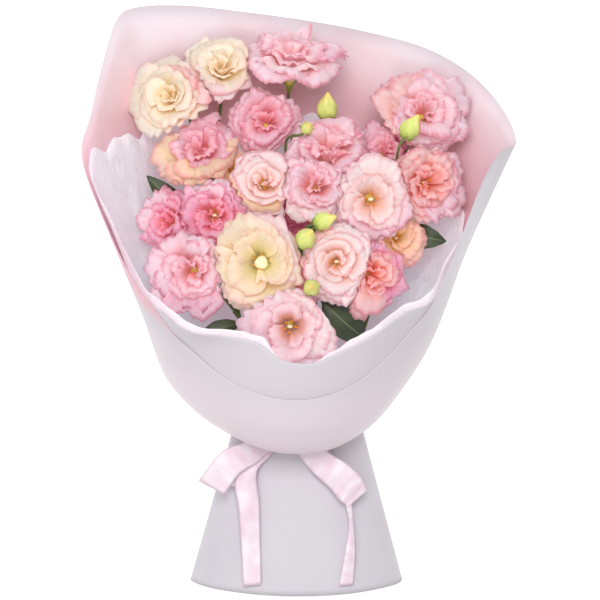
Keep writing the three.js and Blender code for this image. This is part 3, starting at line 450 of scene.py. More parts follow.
class Body:
    """Points and faces gathered for one piece, with a mark for each point and a material for each face"""

    def __init__(self):
        self.points = []
        self.marks = []
        self.faces = []
        self.smooth = []
        self.slots = []
        self.count = 0

    def add(self, points, faces, marks, smooth=True, slot=0):
        self.points.append(points.reshape(-1, 3))
        self.marks.append(marks.reshape(-1, 4))
        self.add_faces(faces + self.count, smooth, slot)
        self.count += len(self.points[-1])

    def add_faces(self, faces, smooth, slot):
        self.faces.append(faces)
        self.smooth.append(np.broadcast_to(smooth, len(faces)))
        self.slots.append(np.broadcast_to(slot, len(faces)))

    def piece(self, name, materials, nodes, slot):
        """The object for this body, which rides on the bouquet and stands for its CAD nodes"""
        points = into_frame(np.concatenate(self.points))
        mesh = bpy.data.meshes.new(name)
        sizes = np.concatenate([np.full(len(f), f.shape[1]) for f in self.faces])
        corners = np.concatenate([f.ravel() for f in self.faces])
        mesh.vertices.add(len(points))
        mesh.vertices.foreach_set("co", points.astype(np.float32).ravel())
        mesh.loops.add(len(corners))
        mesh.loops.foreach_set("vertex_index", corners.astype(np.int32))
        mesh.polygons.add(len(sizes))
        starts = np.concatenate([[0], np.cumsum(sizes)[:-1]])
        mesh.polygons.foreach_set("loop_start", starts.astype(np.int32))
        mesh.polygons.foreach_set("use_smooth", np.concatenate(self.smooth))
        mesh.polygons.foreach_set("material_index", np.concatenate(self.slots).astype(np.int32))
        mesh.update(calc_edges=True)
        mark = mesh.attributes.new("mark", "FLOAT_COLOR", "POINT")
        mark.data.foreach_set("color", np.concatenate(self.marks).astype(np.float32).ravel())
        for material in materials:
            mesh.materials.append(material)
        piece = bpy.data.objects.new(name, mesh)
        bpy.context.scene.collection.objects.link(piece)
        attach(piece, "root")
        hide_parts(*nodes)
        return piece


def marked(grid, along=0.0, across=0.0, draw=0.0, whorl=0.0):
    """Marks for a grid's points: how far along and across they lie, a random draw, and their whorl"""
    marks = np.zeros((*grid.shape[:2], 4))
    for channel, value in enumerate((along, across, draw, whorl)):
        marks[..., channel] = value
    return marks


def grid_faces(rows, columns, closed=False):
    """Quads of a grid of points, row by row"""
    j, i = np.meshgrid(np.arange(rows - 1), np.arange(columns if closed else columns - 1), indexing="ij")
    j, i = j.ravel(), i.ravel()
    k = (i + 1) % columns
    return np.stack([j * columns + i, j * columns + k, (j + 1) * columns + k, (j + 1) * columns + i], 1)


def grid_normals(grid, closed=False):
    along = np.gradient(grid, axis=-3)
    if closed:
        across = np.roll(grid, -1, -2) - np.roll(grid, 1, -2)
    else:
        across = np.gradient(grid, axis=-2)
    return unit(np.cross(across, along))


def add_shell(body, grid, thickness, marks, slots=(0, 0), closed=False):
    """A thin closed shell about a grid of points: its two faces, and a narrow rim that joins them"""
    rows, columns = grid.shape[:2]
    normals = grid_normals(grid, closed)
    half = np.broadcast_to(np.asarray(thickness, float) / 2, grid.shape[:2])[..., None]
    faces = grid_faces(rows, columns, closed)
    count = rows * columns
    at = np.arange(count).reshape(rows, columns)
    rims = [at[0][::-1], at[-1]]
    if not closed:
        rims += [at[:, 0], at[:, -1][::-1]]
    rim_faces = []
    for line in rims:
        ends = np.roll(line, -1) if closed else line[1:]
        starts = line if closed else line[:-1]
        rim_faces.append(np.stack([starts, starts + count, ends + count, ends][::-1], 1))
    rim_faces = np.concatenate(rim_faces)
    points = np.stack([grid + half * normals, grid - half * normals])
    every = np.concatenate([faces, faces[:, ::-1] + count, rim_faces])
    smooth = np.repeat([True, False], [2 * len(faces), len(rim_faces)])
    slot = np.repeat([*slots, slots[1]], [len(faces), len(faces), len(rim_faces)])
    body.add(points, every, np.stack([marks, marks]), smooth, slot)


def smooth_line(points, steps):
    """A smooth line through points, with the same number of steps between each two"""
    points = np.asarray(points, float)
    padded = np.concatenate([2 * points[:1] - points[1:2], points, 2 * points[-1:] - points[-2:-1]])
    spans = np.maximum(np.linalg.norm(np.diff(padded, axis=0), axis=1) ** 0.5, 1e-6)
    line = []
    for i in range(len(points) - 1):
        a, b, c, d = padded[i:i + 4]
        before, here, after = spans[i:i + 3]
        slope_b = here * ((b - a) / before - (c - a) / (before + here) + (c - b) / here)
        slope_c = here * ((c - b) / here - (d - b) / (here + after) + (d - c) / after)
        t = np.linspace(0, 1, steps, endpoint=False)[:, None]
        line.append(hermite(b, c, slope_b, slope_c, t))
    return np.concatenate([*line, points[-1:]])


def frames_along(line):
    """Two directions across a line at each of its points, which turn with it as little as they can"""
    tangents = unit(np.gradient(line, axis=0))
    side = np.cross(tangents[0], [0.0, 0.0, 1.0] if abs(tangents[0][2]) < 0.9 else [1.0, 0.0, 0.0])
    sides = []
    for tangent in tangents:
        side = unit(side - tangent * (side @ tangent))
        sides.append(side)
    sides = np.array(sides)
    return sides, np.cross(tangents, sides)


def add_rings(body, points, marks, slot, smooth_ends):
    """Rings of points, each joined to the next, and the first and last of them filled"""
    rows, sides = points.shape[:2]
    first = body.count + np.arange(sides)
    body.add(points, grid_faces(rows, sides, True), marks, True, slot)
    body.add_faces(first[None, ::-1], smooth_ends, slot)
    body.add_faces((first + (rows - 1) * sides)[None], smooth_ends, slot)


def add_tube(body, line, radius, sides, draw=0.0, slot=0):
    """A round tube along a line, closed at both ends"""
    across, over = frames_along(line)
    angles = np.arange(sides) / sides * 2 * math.pi
    radius = np.broadcast_to(radius, len(line))[:, None, None]
    ring = np.cos(angles)[None, :, None] * across[:, None] + np.sin(angles)[None, :, None] * over[:, None]
    points = line[:, None] + radius * ring
    marks = marked(points, np.linspace(0, 1, len(line))[:, None], np.arange(sides) / sides, draw)
    add_rings(body, points, marks, slot, False)


def add_turned(body, profile, sides, basis, origin, draw=0.0, slot=0, twist=0.0, lobes=0, depth=0.0):
    """A turned solid from [radius, height] points, whose lobes may wind round it"""
    profile = np.asarray(profile, float)
    heights = profile[:, 1:]
    share = (heights - heights[0]) / (heights[-1] - heights[0])
    angles = np.arange(sides) / sides * 2 * math.pi
    swell = 1 + depth * np.cos(lobes * (angles[None] + twist * share))
    radius = np.maximum(profile[:, :1], 0.02) * swell
    heights = np.broadcast_to(heights, radius.shape)
    local = np.stack([radius * np.cos(angles), radius * np.sin(angles), heights], -1)
    points = local @ basis.T + origin
    add_rings(body, points, marked(points, share, angles / (2 * math.pi), draw), slot, True)


# The wrap's shape, as the part has it: rings from the tie to the widest part, and its edge all round

Ring = namedtuple("Ring", "left right side front back low middle top")
RINGS = [
    Ring(19.5, 19.5, -113, -113, -113, 31, TIE_Z, 63),
    Ring(19.5, 19.5, -89, -89, -89, 31, TIE_Z, 63),
    Ring(70, 64, -127, -150, -100, 4, 50, 114),
    Ring(130, 107, -84, -130, -55, -8, 72, 158),
    Ring(158, 145, -12, -95, 50, -14, 92, 178),
]
EDGE = [
    [-90, 10, 289, 12], [-74, 72, 277, 13], [-60, 131, 259, 26], [-46, 175, 231, 44], [-30, 205, 194, 68],
    [-16, 217, 158, 94], [-4, 199, 146, 124], [8, 180, 117, 147], [22, 156, 59, 166], [34, 131, 6, 178],
    [46, 102, -12, 184], [60, 71, -34, 187], [74, 41, -49, 188], [88, 13, -60, 188], [102, -17, -57, 188],
    [116, -40, -41, 187], [130, -71, -35, 184], [142, -108, -30, 178], [154, -136, -9, 168],
    [164, -158, 14, 156], [174, -186, 67, 138], [186, -215, 140, 118], [198, -208, 186, 100],
    [210, -198, 237, 80], [220, -185, 284, 62], [230, -167, 298, 50], [242, -121, 302, 36],
    [256, -64, 298, 22],
]
FILM_EDGE = [
    [-90, 4.2], [-50, 4.2], [-20, 4.1], [10, 4.3], [30, 4.8], [46, 5], [90, 5], [142, 5], [160, 4.85],
    [185, 4.4], [215, 4.2],
]
TISSUE_EDGE = [
    [-90, 4.62], [-60, 4.6], [-36, 4.55], [-16, 4.52], [6, 4.6], [20, 4.85], [34, 5.08], [52, 5.16],
    [70, 5.12], [86, 4.98], [98, 4.96], [112, 5.1], [130, 5.2], [148, 5.14], [164, 5.02], [186, 4.95],
    [200, 4.82], [215, 4.7], [240, 4.6],
]
PRESSED = 0.3
LAST_SHARED_ROW = 3.3
SKIRT_FLARE = {"y": -131, "left": 68, "right": 65, "low": 12, "top": 78}
SKIRT_CUT = {"y": -284, "left": 111, "right": 106, "low": 0.8, "top": 86}
SKIRT_MIDDLE = 43
SKIRT_BOW = 12
FLARE_LEVEL = 0.1


def hermite(a, b, slope_a, slope_b, t):
    rise = t * t * (3 - 2 * t)
    return a * (1 - rise) + slope_a * (t * (1 - t) ** 2) + b * rise + slope_b * (t * t * (t - 1))


def all_round(columns):
    """Angles about the stems in degrees, from the back and round to it again: 0 is right and 90 is front"""
    return np.linspace(-90, 270, columns, endpoint=False)[None, :]


def round_table(rows, degrees):
    """A smooth closed curve through rows of [angle, value, ...], read at angles in degrees"""
    rows = np.array(rows, float)
    count = len(rows)
    turn = (degrees - rows[0, 0]) % 360 + rows[0, 0]
    i = np.searchsorted(rows[:, 0], turn, side="right") - 1

    def at(k):
        row = rows[k % count].copy()
        row[..., 0] += 360 * (k // count)
        return row

    p0, p1, p2, p3 = at(i - 1), at(i), at(i + 1), at(i + 2)
    span = p2[..., :1] - p1[..., :1]
    t = (turn[..., None] - p1[..., :1]) / span
    slope_a = (p2 - p0)[..., 1:] / (p2 - p0)[..., :1] * span
    slope_b = (p3 - p1)[..., 1:] / (p3 - p1)[..., :1] * span
    return hermite(p1[..., 1:], p2[..., 1:], slope_a, slope_b, t)


def ring_points(ring, degrees):
    c, s = np.cos(np.radians(degrees)), np.sin(np.radians(degrees))
    x = np.where(c < 0, ring.left, ring.right) * c
    y = ring.side + (np.where(s > 0, ring.front, ring.back) - ring.side) * np.abs(s) ** 1.8
    z = ring.middle + np.where(s > 0, ring.top - ring.middle, ring.middle - ring.low) * s
    return np.stack([x, y, z], -1)


def wrap_points(degrees, row):
    """Points of the wrap's outer face: row 0 is the foot of its neck, 1 the neck's top and 5 the edge"""
    degrees, row = np.broadcast_arrays(np.asarray(degrees, float), np.asarray(row, float))
    stops = [ring_points(ring, degrees) for ring in RINGS] + [round_table(EDGE, degrees)]
    last = len(RINGS)
    found = stops[0] + (stops[1] - stops[0]) * np.clip(row, 0, 1)[..., None]
    for k in range(1, last):
        a, b = stops[k], stops[k + 1]
        slope_a = b - a if k == 1 else (b - stops[k - 1]) / 2
        slope_b = b - a if k + 1 == last else (stops[k + 2] - a) / 2
        here = (row > 1) & (np.minimum(np.floor(row), last - 1) == k)
        found = np.where(here[..., None], hermite(a, b, slope_a, slope_b, (row - k)[..., None]), found)
    found[..., 2] = np.maximum(found[..., 2], PRESSED)
    return found


def wrap_normals(degrees, row):
    """The wrap's normals, pointing in towards the flowers"""
    degrees, row = np.broadcast_arrays(np.asarray(degrees, float), np.asarray(row, float))
    turn, step = 2, 0.04
    around = wrap_points(degrees + turn, row) - wrap_points(degrees - turn, row)
    above = np.where(row < 1, np.minimum(row + step, 1), row + step)
    below = np.where(row > 1, np.maximum(row - step, 1), np.maximum(row - step, 0))
    along = wrap_points(degrees, np.minimum(above, np.maximum(row, 5))) - wrap_points(degrees, below)
    return unit(np.cross(around, along))


def layer_depth(row, snug, loose):
    t = np.clip((row - 1) / 1.2, 0, 1)
    return snug + (loose - snug) * t * t * (3 - 2 * t)


def skirt_points(degrees, level, inset):
    """Points of the film's skirt below the tie: level 0 is at the tie and 1 at its cut edge"""
    degrees, level = np.broadcast_arrays(np.asarray(degrees, float), np.asarray(level, float))
    c, s = np.cos(np.radians(degrees)), np.sin(np.radians(degrees))
    neck = wrap_points(degrees, 0.0) + wrap_normals(degrees, 0.5) * FILM_SNUG
    opened = (level - FLARE_LEVEL) / (1 - FLARE_LEVEL)

    def between(key):
        return SKIRT_FLARE[key] + (SKIRT_CUT[key] - SKIRT_FLARE[key]) * opened

    half = np.where(c < 0, between("left"), between("right"))
    depth = np.where(s < 0, between("low"), between("top"))
    y = between("y") - SKIRT_BOW * np.abs(s) ** 1.5 * level
    middle = TIE_Z + (SKIRT_MIDDLE - TIE_Z) * level
    inward = np.stack([-c, np.zeros_like(c), -s], -1) * np.asarray(inset, float)[..., None]
    opening = np.stack([half * c, y, middle + np.abs(depth - middle) * s], -1) + inward
    share = np.clip(level / FLARE_LEVEL, 0, 1)[..., None]
    return (neck + inward) * (1 - share) + opening * share


def waves(x, y, seed, count, longest, shortest):
    """Sharp random creases over a plane, from about -1 to 1, with a share that says how near a crease is"""
    draw = np.random.default_rng(seed)
    height = np.zeros(np.broadcast(x, y).shape)
    ridge = np.zeros_like(height)
    for _ in range(count):
        angle = draw.uniform(0, math.pi)
        length = math.exp(draw.uniform(math.log(shortest), math.log(longest)))
        phase = draw.uniform(0, 2 * math.pi)
        aslant = (x * math.cos(angle + 1.3) + y * math.sin(angle + 1.3)) / length
        bend = draw.uniform(0.3, 1.2) * np.sin(aslant)
        turn = 2 * math.pi * (x * math.cos(angle) + y * math.sin(angle)) / length + phase + bend
        fold = 1 - 2 * np.abs(np.sin(turn / 2))
        height += fold * length / longest
        ridge = np.maximum(ridge, np.clip((fold - 0.8) / 0.2, 0, 1))
    return height / count, ridge


def wrapped_sheet(rows, edge, depth, columns, ripple=None):
    """The points and marks of one layer of the wrap, from the neck to its own edge"""
    degrees = all_round(columns)
    share = np.asarray(rows, float)[:, None]
    beyond = np.maximum(share - LAST_SHARED_ROW, 0)
    row = np.where(beyond > 0, LAST_SHARED_ROW + (edge(degrees) - LAST_SHARED_ROW) * beyond, share)
    lift, mark = ripple(degrees, row) if ripple else (0, 0)
    deep = layer_depth(row, *depth) + lift
    points = wrap_points(degrees, row) + wrap_normals(degrees, row) * deep[..., None]
    from_back = np.minimum(degrees + 90, 270 - degrees) / 360
    return points, marked(points, row / 5, from_back, mark)


def paper_edge(degrees):
    """The paper's front edge dips below the lip, so that the film shows above it"""
    turned = (degrees + 90) % 360 - 90
    share = np.clip((turned - 30) / 128, 0, 1)
    return 5 - 1.02 * np.sin(math.pi * share) ** 0.7


SHARED_ROWS = np.linspace(1, LAST_SHARED_ROW, 26)
SHEET_ROWS = np.concatenate([SHARED_ROWS, LAST_SHARED_ROW + np.linspace(0, 1, 23)[1:]])
NECK_ROWS = [0, 0.5, 0.9]
TISSUE_FOOT = 0.32
LOWEST_FOLD = -5.2  # keeps the tissue's folds inside the film and the paper


def pink_paper():
    def ripple(degrees, row):
        soft = 0.35 * np.sin(np.radians(degrees) * 7 + row * 1.7) * np.clip(row - 1.5, 0, 1)
        # Where the paper's finish paints the pink of shade on its left flank
        left_shade_share = np.exp(-(((degrees - 170) / 24) ** 2))
        return soft, left_shade_share

    points, marks = wrapped_sheet([*NECK_ROWS, *SHEET_ROWS], paper_edge, (0.5, 0.5), 240, ripple)
    body = Body()
    add_shell(body, points, PAPER_SHEET, marks, (1, 0), closed=True)
    body.piece("pink_wrap", [PAPER_OUT, PAPER_IN], ["pink_paper"], "pink_paper")


def frosted_film():
    def edge(degrees):
        return round_table(FILM_EDGE, degrees)[..., 0]

    depth = (FILM_SNUG + 0.4, PAPER + 0.3)
    columns = 216
    bowl, bowl_marks = wrapped_sheet([*NECK_ROWS, *SHEET_ROWS], edge, depth, columns)
    degrees = all_round(columns)
    levels = np.concatenate([np.linspace(1, FLARE_LEVEL, 26), np.linspace(FLARE_LEVEL, 0, 6)[1:-1]])[:, None]
    pleat = 0.5 * np.sin(np.radians(degrees) * 9 + 1.0) * levels
    skirt = skirt_points(degrees, levels, 0.4 + pleat)
    body = Body()
    marks = np.concatenate([marked(skirt), bowl_marks])
    add_shell(body, np.concatenate([skirt, bowl]), FILM_SHEET, marks, (0, 0), closed=True)
    body.piece("film_wrap", [FROSTED], ["frosted_film", "film_skirt"], "frosted_film")


def tissue_liner():
    def ripple(degrees, row):
        folds, ridge = waves(degrees * 2.6, row * 68, 5, 22, 90, 16)
        loose = np.clip((row - 1.6) / 1.5, 0, 1)
        swing = 1.6 * np.sin(np.radians(degrees) * 5 + 0.7) + 1.1 * np.sin(np.radians(degrees) * 11 + row)
        rim = np.clip(row - 3.9, 0, 0.8) / 0.8
        lift = (9 + 9 * rim) * folds + swing * np.clip(row - 3, 0, 1.6) / 1.6
        # The second value marks the creases, where the tissue's finish paints a highlight
        return loose * np.maximum(lift, LOWEST_FOLD), ridge * loose

    def edge(degrees):
        turned = np.radians(degrees)
        ragged = 0.02 * np.sin(turned * 9 + 2) + 0.018 * np.sin(turned * 23)
        ragged += 0.012 * np.sin(turned * 41 + 1)
        return round_table(TISSUE_EDGE, degrees)[..., 0] + ragged - 0.02

    depth = (TISSUE_SNUG + 0.4, TISSUE_LOOSE + 0.4)
    points, marks = wrapped_sheet([TISSUE_FOOT, *NECK_ROWS[1:], *SHEET_ROWS], edge, depth, 300, ripple)
    body = Body()
    add_shell(body, points, TISSUE_SHEET, marks, (0, 0), closed=True)
    body.piece("tissue_wrap", [TISSUE_WHITE], ["tissue_liner"], "tissue")


# Blooms. Each has its main petal colours, and others for the outer petals that point within an angle of a
# bearing, both in degrees.

Bloom = namedtuple("Bloom", "at radius faces form looks bearing within")
BLOOMS = {
    "cream_left": Bloom((-134, 208, 90), 41, (-0.35, 0.25, 0.9), "rose", ("cream", "coral"), 25, 50),
    "cream_top": Bloom((-79, 240, 76), 37, (0, 0.45, 0.9), "rose", ("cream", "pale"), -100, 60),
    "pink_top": Bloom((-8, 258, 75), 48, (0.05, 0.85, 0.5), "frilled", ("pink", "pale"), -90, 30),
    "pink_top_right": Bloom((126, 193, 88), 44, (0.1, 0.25, 0.95), "frilled", ("pink", "coral"), 185, 40),
    "pink_upper": Bloom((-34, 185, 85), 41, (0, 0.3, 0.95), "frilled", ("rosy", "pink"), 90, 50),
    "peach_left": Bloom((-102, 157, 98), 43, (-0.15, 0.5, 0.85), "frilled", ("rosy", "peach"), -90, 75),
    "peach_open": Bloom((-65, 133, 85), 31, (0.1, 0.2, 0.97), "open", ("peach", "pale"), 90, 90),
    "pale_upper": Bloom((-34, 119, 122), 37, (0.1, 0.2, 0.97), "rose", ("pale", "peach"), -110, 40),
    "pink_wide": Bloom((29, 158, 105), 48, (0.05, 0.55, 0.83), "frilled", ("pink", "rosy"), 30, 60),
    "pink_middle": Bloom((16, 116, 130), 41, (0, 0.15, 0.98), "frilled", ("pink", "pale"), -90, 60),
    "pale_right": Bloom((73, 99, 130), 46, (0.1, -0.1, 0.98), "open", ("pale", "pink"), -60, 70),
    "coral_right": Bloom((131, 118, 108), 40, (0.35, 0, 0.93), "frilled", ("coral", "pink"), 0, 70),
    "pink_left": Bloom((-135, 79, 105), 33, (-0.5, 0, 0.85), "frilled", ("hot", "pink"), 180, 60),
    "deep_left": Bloom((-86, 86, 125), 38, (-0.1, 0.05, 0.98), "frilled", ("hot", "pink"), 120, 50),
    "pale_left": Bloom((-108, 28, 140), 42, (-0.15, -0.1, 0.97), "frilled", ("pink", "rosy"), -60, 50),
    "cream_open": Bloom((-39, 38, 150), 52, (0, -0.05, 1), "open", ("ivory", "pale"), 60, 50),
    "pale_rose": Bloom((37, 38, 150), 44, (0, -0.05, 1), "rose", ("pale", "coral"), 150, 40),
    "coral_lower": Bloom((77, 25, 135), 37, (0.4, -0.1, 0.9), "frilled", ("coral", "hot"), 30, 60),
    "pink_low": Bloom((-3, 16, 116), 27, (0, -0.1, 0.98), "frilled", ("rosy", "pink"), 0, 60),
    "pink_front": Bloom((-9, -28, 160), 46, (0, -0.15, 0.98), "open", ("blush", "pale"), 20, 50),
    # The two blooms at the back take the darker pink of painted shade
    "deep_back": Bloom((-9, 93, 85), 29, (0, 0, 1), "frilled", ("shaded_pink", "shaded_pink"), 0, 10),
    "coral_back": Bloom((86, 156, 80), 30, (0.1, 0.4, 0.9), "frilled", ("rosy", "shaded_pink"), 0, 60),
    "peach_back": Bloom((98, 63, 100), 29, (0.1, 0, 1), "open", ("peach", "coral"), -90, 60),
}

# The whorls of a bloom, as in the part but with all their petals: the petals, half a petal's spread in
# degrees, its shape from root to tip, and how far its lip rolls out
Form = namedtuple("Form", "slot ruffle fringe whorls")
Whorl = namedtuple("Whorl", "petals half curve lip")
FORMS = {
    "frilled": Form("petal_pink", 0.1, 0.045, [
        Whorl(5, 52, [(0.1, 0.1), (0.32, 0.32), (0.74, 0.96), (1.02, 0.6)], 0.09),
        Whorl(4, 62, [(0.09, 0.15), (0.3, 0.4), (0.6, 1.0), (0.84, 0.82)], 0.1),
        Whorl(3, 74, [(0.08, 0.2), (0.24, 0.5), (0.44, 1.02), (0.62, 0.98)], 0.09),
        Whorl(3, 72, [(0.06, 0.2), (0.18, 0.5), (0.3, 0.96), (0.42, 1.06)], 0.06),
        Whorl(2, 84, [(0.04, 0.2), (0.12, 0.5), (0.14, 0.86), (0.22, 1.02)], 0.04),
    ]),
    "rose": Form("petal_pale", 0.03, 0.016, [
        Whorl(5, 50, [(0.12, 0.1), (0.35, 0.3), (0.8, 0.85), (1.02, 0.6)], 0.1),
        Whorl(4, 60, [(0.1, 0.15), (0.3, 0.35), (0.62, 0.98), (0.8, 0.8)], 0.1),
        Whorl(4, 60, [(0.08, 0.2), (0.26, 0.4), (0.46, 1.0), (0.6, 0.95)], 0.08),
        Whorl(3, 72, [(0.06, 0.3), (0.2, 0.5), (0.3, 0.98), (0.4, 1.02)], 0.05),
        Whorl(3, 70, [(0.05, 0.3), (0.14, 0.5), (0.15, 0.9), (0.22, 1.04)], 0.03),
    ]),
    "open": Form("petal_cream", 0.06, 0.022, [
        Whorl(5, 50, [(0.12, 0.1), (0.3, 0.3), (0.7, 0.98), (1.02, 0.7)], 0.09),
        Whorl(4, 58, [(0.1, 0.15), (0.25, 0.4), (0.56, 0.98), (0.82, 0.9)], 0.08),
        Whorl(4, 58, [(0.08, 0.2), (0.2, 0.45), (0.4, 0.98), (0.6, 1.02)], 0.07),
        Whorl(3, 70, [(0.08, 0.25), (0.17, 0.5), (0.3, 0.92), (0.42, 1.06)], 0.05),
    ]),
}
BLOOM_HEIGHT = 0.9
HEART_SHARE = 0.6
BLOOM_REACH = 0.95
STALK_REACHES = (3, 2.2)
PETAL_ROUNDING = 0.2
OFF_CENTRE = 0.022
STAGGER = 0.08
SOFT_FROM = 0.74
PRESS_GAP = 0.9
PRESS_WAVE = 2.6
PETAL_ALONG = np.array([0.0, 0.2, 0.38, 0.54, 0.67, 0.78, 0.87, 0.94, 1.0])
PETAL_ACROSS = np.linspace(-1, 1, 41)
HEART_PROFILE = [(0.11, 0), (0.13, 0.1), (0.14, 0.2), (0.11, 0.28), (0.06, 0.33), (0.01, 0.35)]
HEART_LIFT = 0.3
ANTHER_PROFILE = [(0.2, -2.2), (1.0, -1.4), (1.25, 0), (1.0, 1.5), (0.2, 2.3)]
PISTIL_PROFILE = [(0.3, -1.6), (1.9, -0.8), (2.3, 0.5), (1.2, 1.7), (0.2, 2)]
BROAD_PISTIL_PROFILE = [(0.5, -7), (4.6, -5), (6.6, -1), (6.4, 2.4), (4.2, 5.4), (1.0, 6.6)]
HEART_SLOT, FILAMENT_SLOT, ANTHER_SLOT, PISTIL_SLOT = 4, 5, 6, 7
BLOOM_NAMES = list(BLOOMS)

Bud = namedtuple("Bud", "at radius points via")
BUDS = {
    "upright": Bud((28, 194, 72), 12, (0.05, 0.9, 0.42), (42, 150, 52)),
    "small": Bud((8, 171, 122), 7, (0.25, 0.3, 0.9), (-13, 161, 82)),
    "slanted": Bud((110, 171, 118), 11, (0.5, 0.8, 0.3), (94, 120, 76)),
    "pair_high": Bud((24, 78, 152), 10, (0.85, 0.3, 0.4), (17, 66, 120)),
    "pair_low": Bud((7, 61, 162), 11, (0.35, 0.45, 0.8), (10, 50, 112)),
    "round": Bud((12, 13, 166), 9, (0, 0.1, 1), (8, -8, 130)),
}


def basis_at(direction, turn=0.0):
    """Columns x, y and z of a frame whose z runs along a direction, turned about it"""
    z = unit(np.asarray(direction, float))
    x = unit(np.cross([0.0, 1.0, 0.0] if abs(z[1]) < 0.9 else [1.0, 0.0, 0.0], z))
    y = np.cross(z, x)
    c, s = math.cos(turn), math.sin(turn)
    return np.stack([x * c + y * s, y * c - x * s, z], 1)


Place = namedtuple("Place", "root facing height radius heart")


def bloom_place(bloom):
    facing = unit(np.array(bloom.faces, float))
    height = bloom.radius * BLOOM_HEIGHT
    root = np.array(bloom.at, float) - facing * height
    return Place(root, facing, height, bloom.radius, root + facing * HEART_SHARE * height)


PLACES = {name: bloom_place(bloom) for name, bloom in BLOOMS.items()}


def crowd():
    """Everything that a bloom presses against: name, middle, reach, and whether it gives way"""
    members = [(name, place.heart, place.radius * BLOOM_REACH, False) for name, place in PLACES.items()]
    for name, bud in BUDS.items():
        middle = np.array(bud.at, float)
        foot = middle - 1.8 * bud.radius * unit(np.array(bud.points, float))
        members.append((name, middle, bud.radius, True))
        members.append((name, foot, STALK_REACHES[0], True))
        members.append((name, np.array(bud.via, float), STALK_REACHES[1], True))
    return members


CROWD = crowd()


def swell(points):
    """How far two pressed blooms' border waves at points of it"""
    long = np.sin(points @ [0.31, 0.2, 0.24] + 1.3)
    return PRESS_WAVE * (long + 0.6 * np.sin(points @ [-0.4, 0.48, 0.2] + 4.0))


def press(name, points):
    """Draws points back into the room that a bloom has between its neighbours"""
    names = [member[0] for member in CROWD]
    _, heart, own_reach, _ = CROWD[names.index(name)]
    out = points - heart
    reach = np.linalg.norm(out, axis=-1)
    direction = out / reach[..., None]
    room = np.full(reach.shape, 1e9)
    for other, there, other_reach, firm in CROWD:
        away = there - heart
        distance = np.linalg.norm(away)
        if other == name or distance > 1.5 * (own_reach + other_reach):
            continue
        towards = direction @ away / distance
        shared = (distance ** 2 + own_reach ** 2 - other_reach ** 2) / (2 * distance)
        limit = (min(shared, distance - other_reach) if firm else shared) - PRESS_GAP
        slant = np.maximum(towards, 0.01)
        if not firm:
            border = heart + direction * np.clip(shared / slant, 0, 2 * own_reach)[..., None]
            side = 1 if names.index(name) < names.index(other) else -1
            limit = limit + side * swell(border)
        room = np.where(towards > 0.01, np.minimum(room, limit / slant), room)
    share = reach / room
    pressed = SOFT_FROM + (1 - SOFT_FROM) * np.tanh((share - SOFT_FROM) / (1 - SOFT_FROM))
    return np.where((share <= SOFT_FROM)[..., None], points, heart + direction * (pressed * room)[..., None])


def bezier(curve, t):
    """A point at shares t of a curve with four control points, and the way that the curve runs there"""
    curve = np.array(curve, float)
    weights = np.stack([(1 - t) ** 3, 3 * (1 - t) ** 2 * t, 3 * (1 - t) * t * t, t ** 3], -1)
    rates = np.stack([(1 - t) ** 2, 2 * (1 - t) * t, t * t], -1)
    point = weights @ curve
    slope = unit(rates @ np.diff(curve, axis=0))
    return point[..., 0], point[..., 1], slope


def petal_grid(place, form, whorl, middle, draw):
    """One petal, in its bloom's own frame: rows from its root to its rim"""
    s, t = PETAL_ACROSS[None, :], PETAL_ALONG[:, None]
    phase = draw.uniform(0, 2 * math.pi, 8)
    lean, stretch = draw.uniform(-1, 1, 2)
    lobes = 0.05 * np.sin(3.1 * s + phase[0]) + 0.03 * np.sin(7.3 * s + phase[1])
    teeth = form.fringe * draw.uniform(-1, 0.4, s.shape)
    end = 1 + 0.07 * stretch - PETAL_ROUNDING * np.abs(s) ** 3 + lobes
    reach, rise, slope = bezier(whorl.curve, t * end + teeth * t ** 9)
    curl = np.clip((t - 0.66) / 0.34, 0, 1) ** 2 * whorl.lip * (1 + 0.5 * np.sin(2 * s + phase[2]))
    swing = np.sin(1.5 * math.pi * s + phase[3]) + 0.55 * np.sin(3.1 * math.pi * s + phase[4])
    crimp = np.sin(7.4 * math.pi * s + phase[5]) * t ** 6
    fold = form.ruffle * (0.9 * swing * t ** 2 + 0.36 * crimp)
    pleat = 0.004 * np.sin(24 * s + phase[6]) * t
    over = STAGGER * s * (0.3 + 0.7 * t) + fold + pleat + 0.09 * lean * t
    out = (reach + slope[..., 1] * over + curl) * place.radius
    up = rise * place.height - slope[..., 0] * over * place.radius - 0.7 * curl * place.radius
    up = up * (1 + 0.08 * stretch * t)
    drift = 0.05 * t * t * np.sin(3.7 * s + phase[7])
    angle = middle + math.radians(whorl.half) * (s + drift)
    return np.stack([out * np.cos(angle), out * np.sin(angle), up], -1)


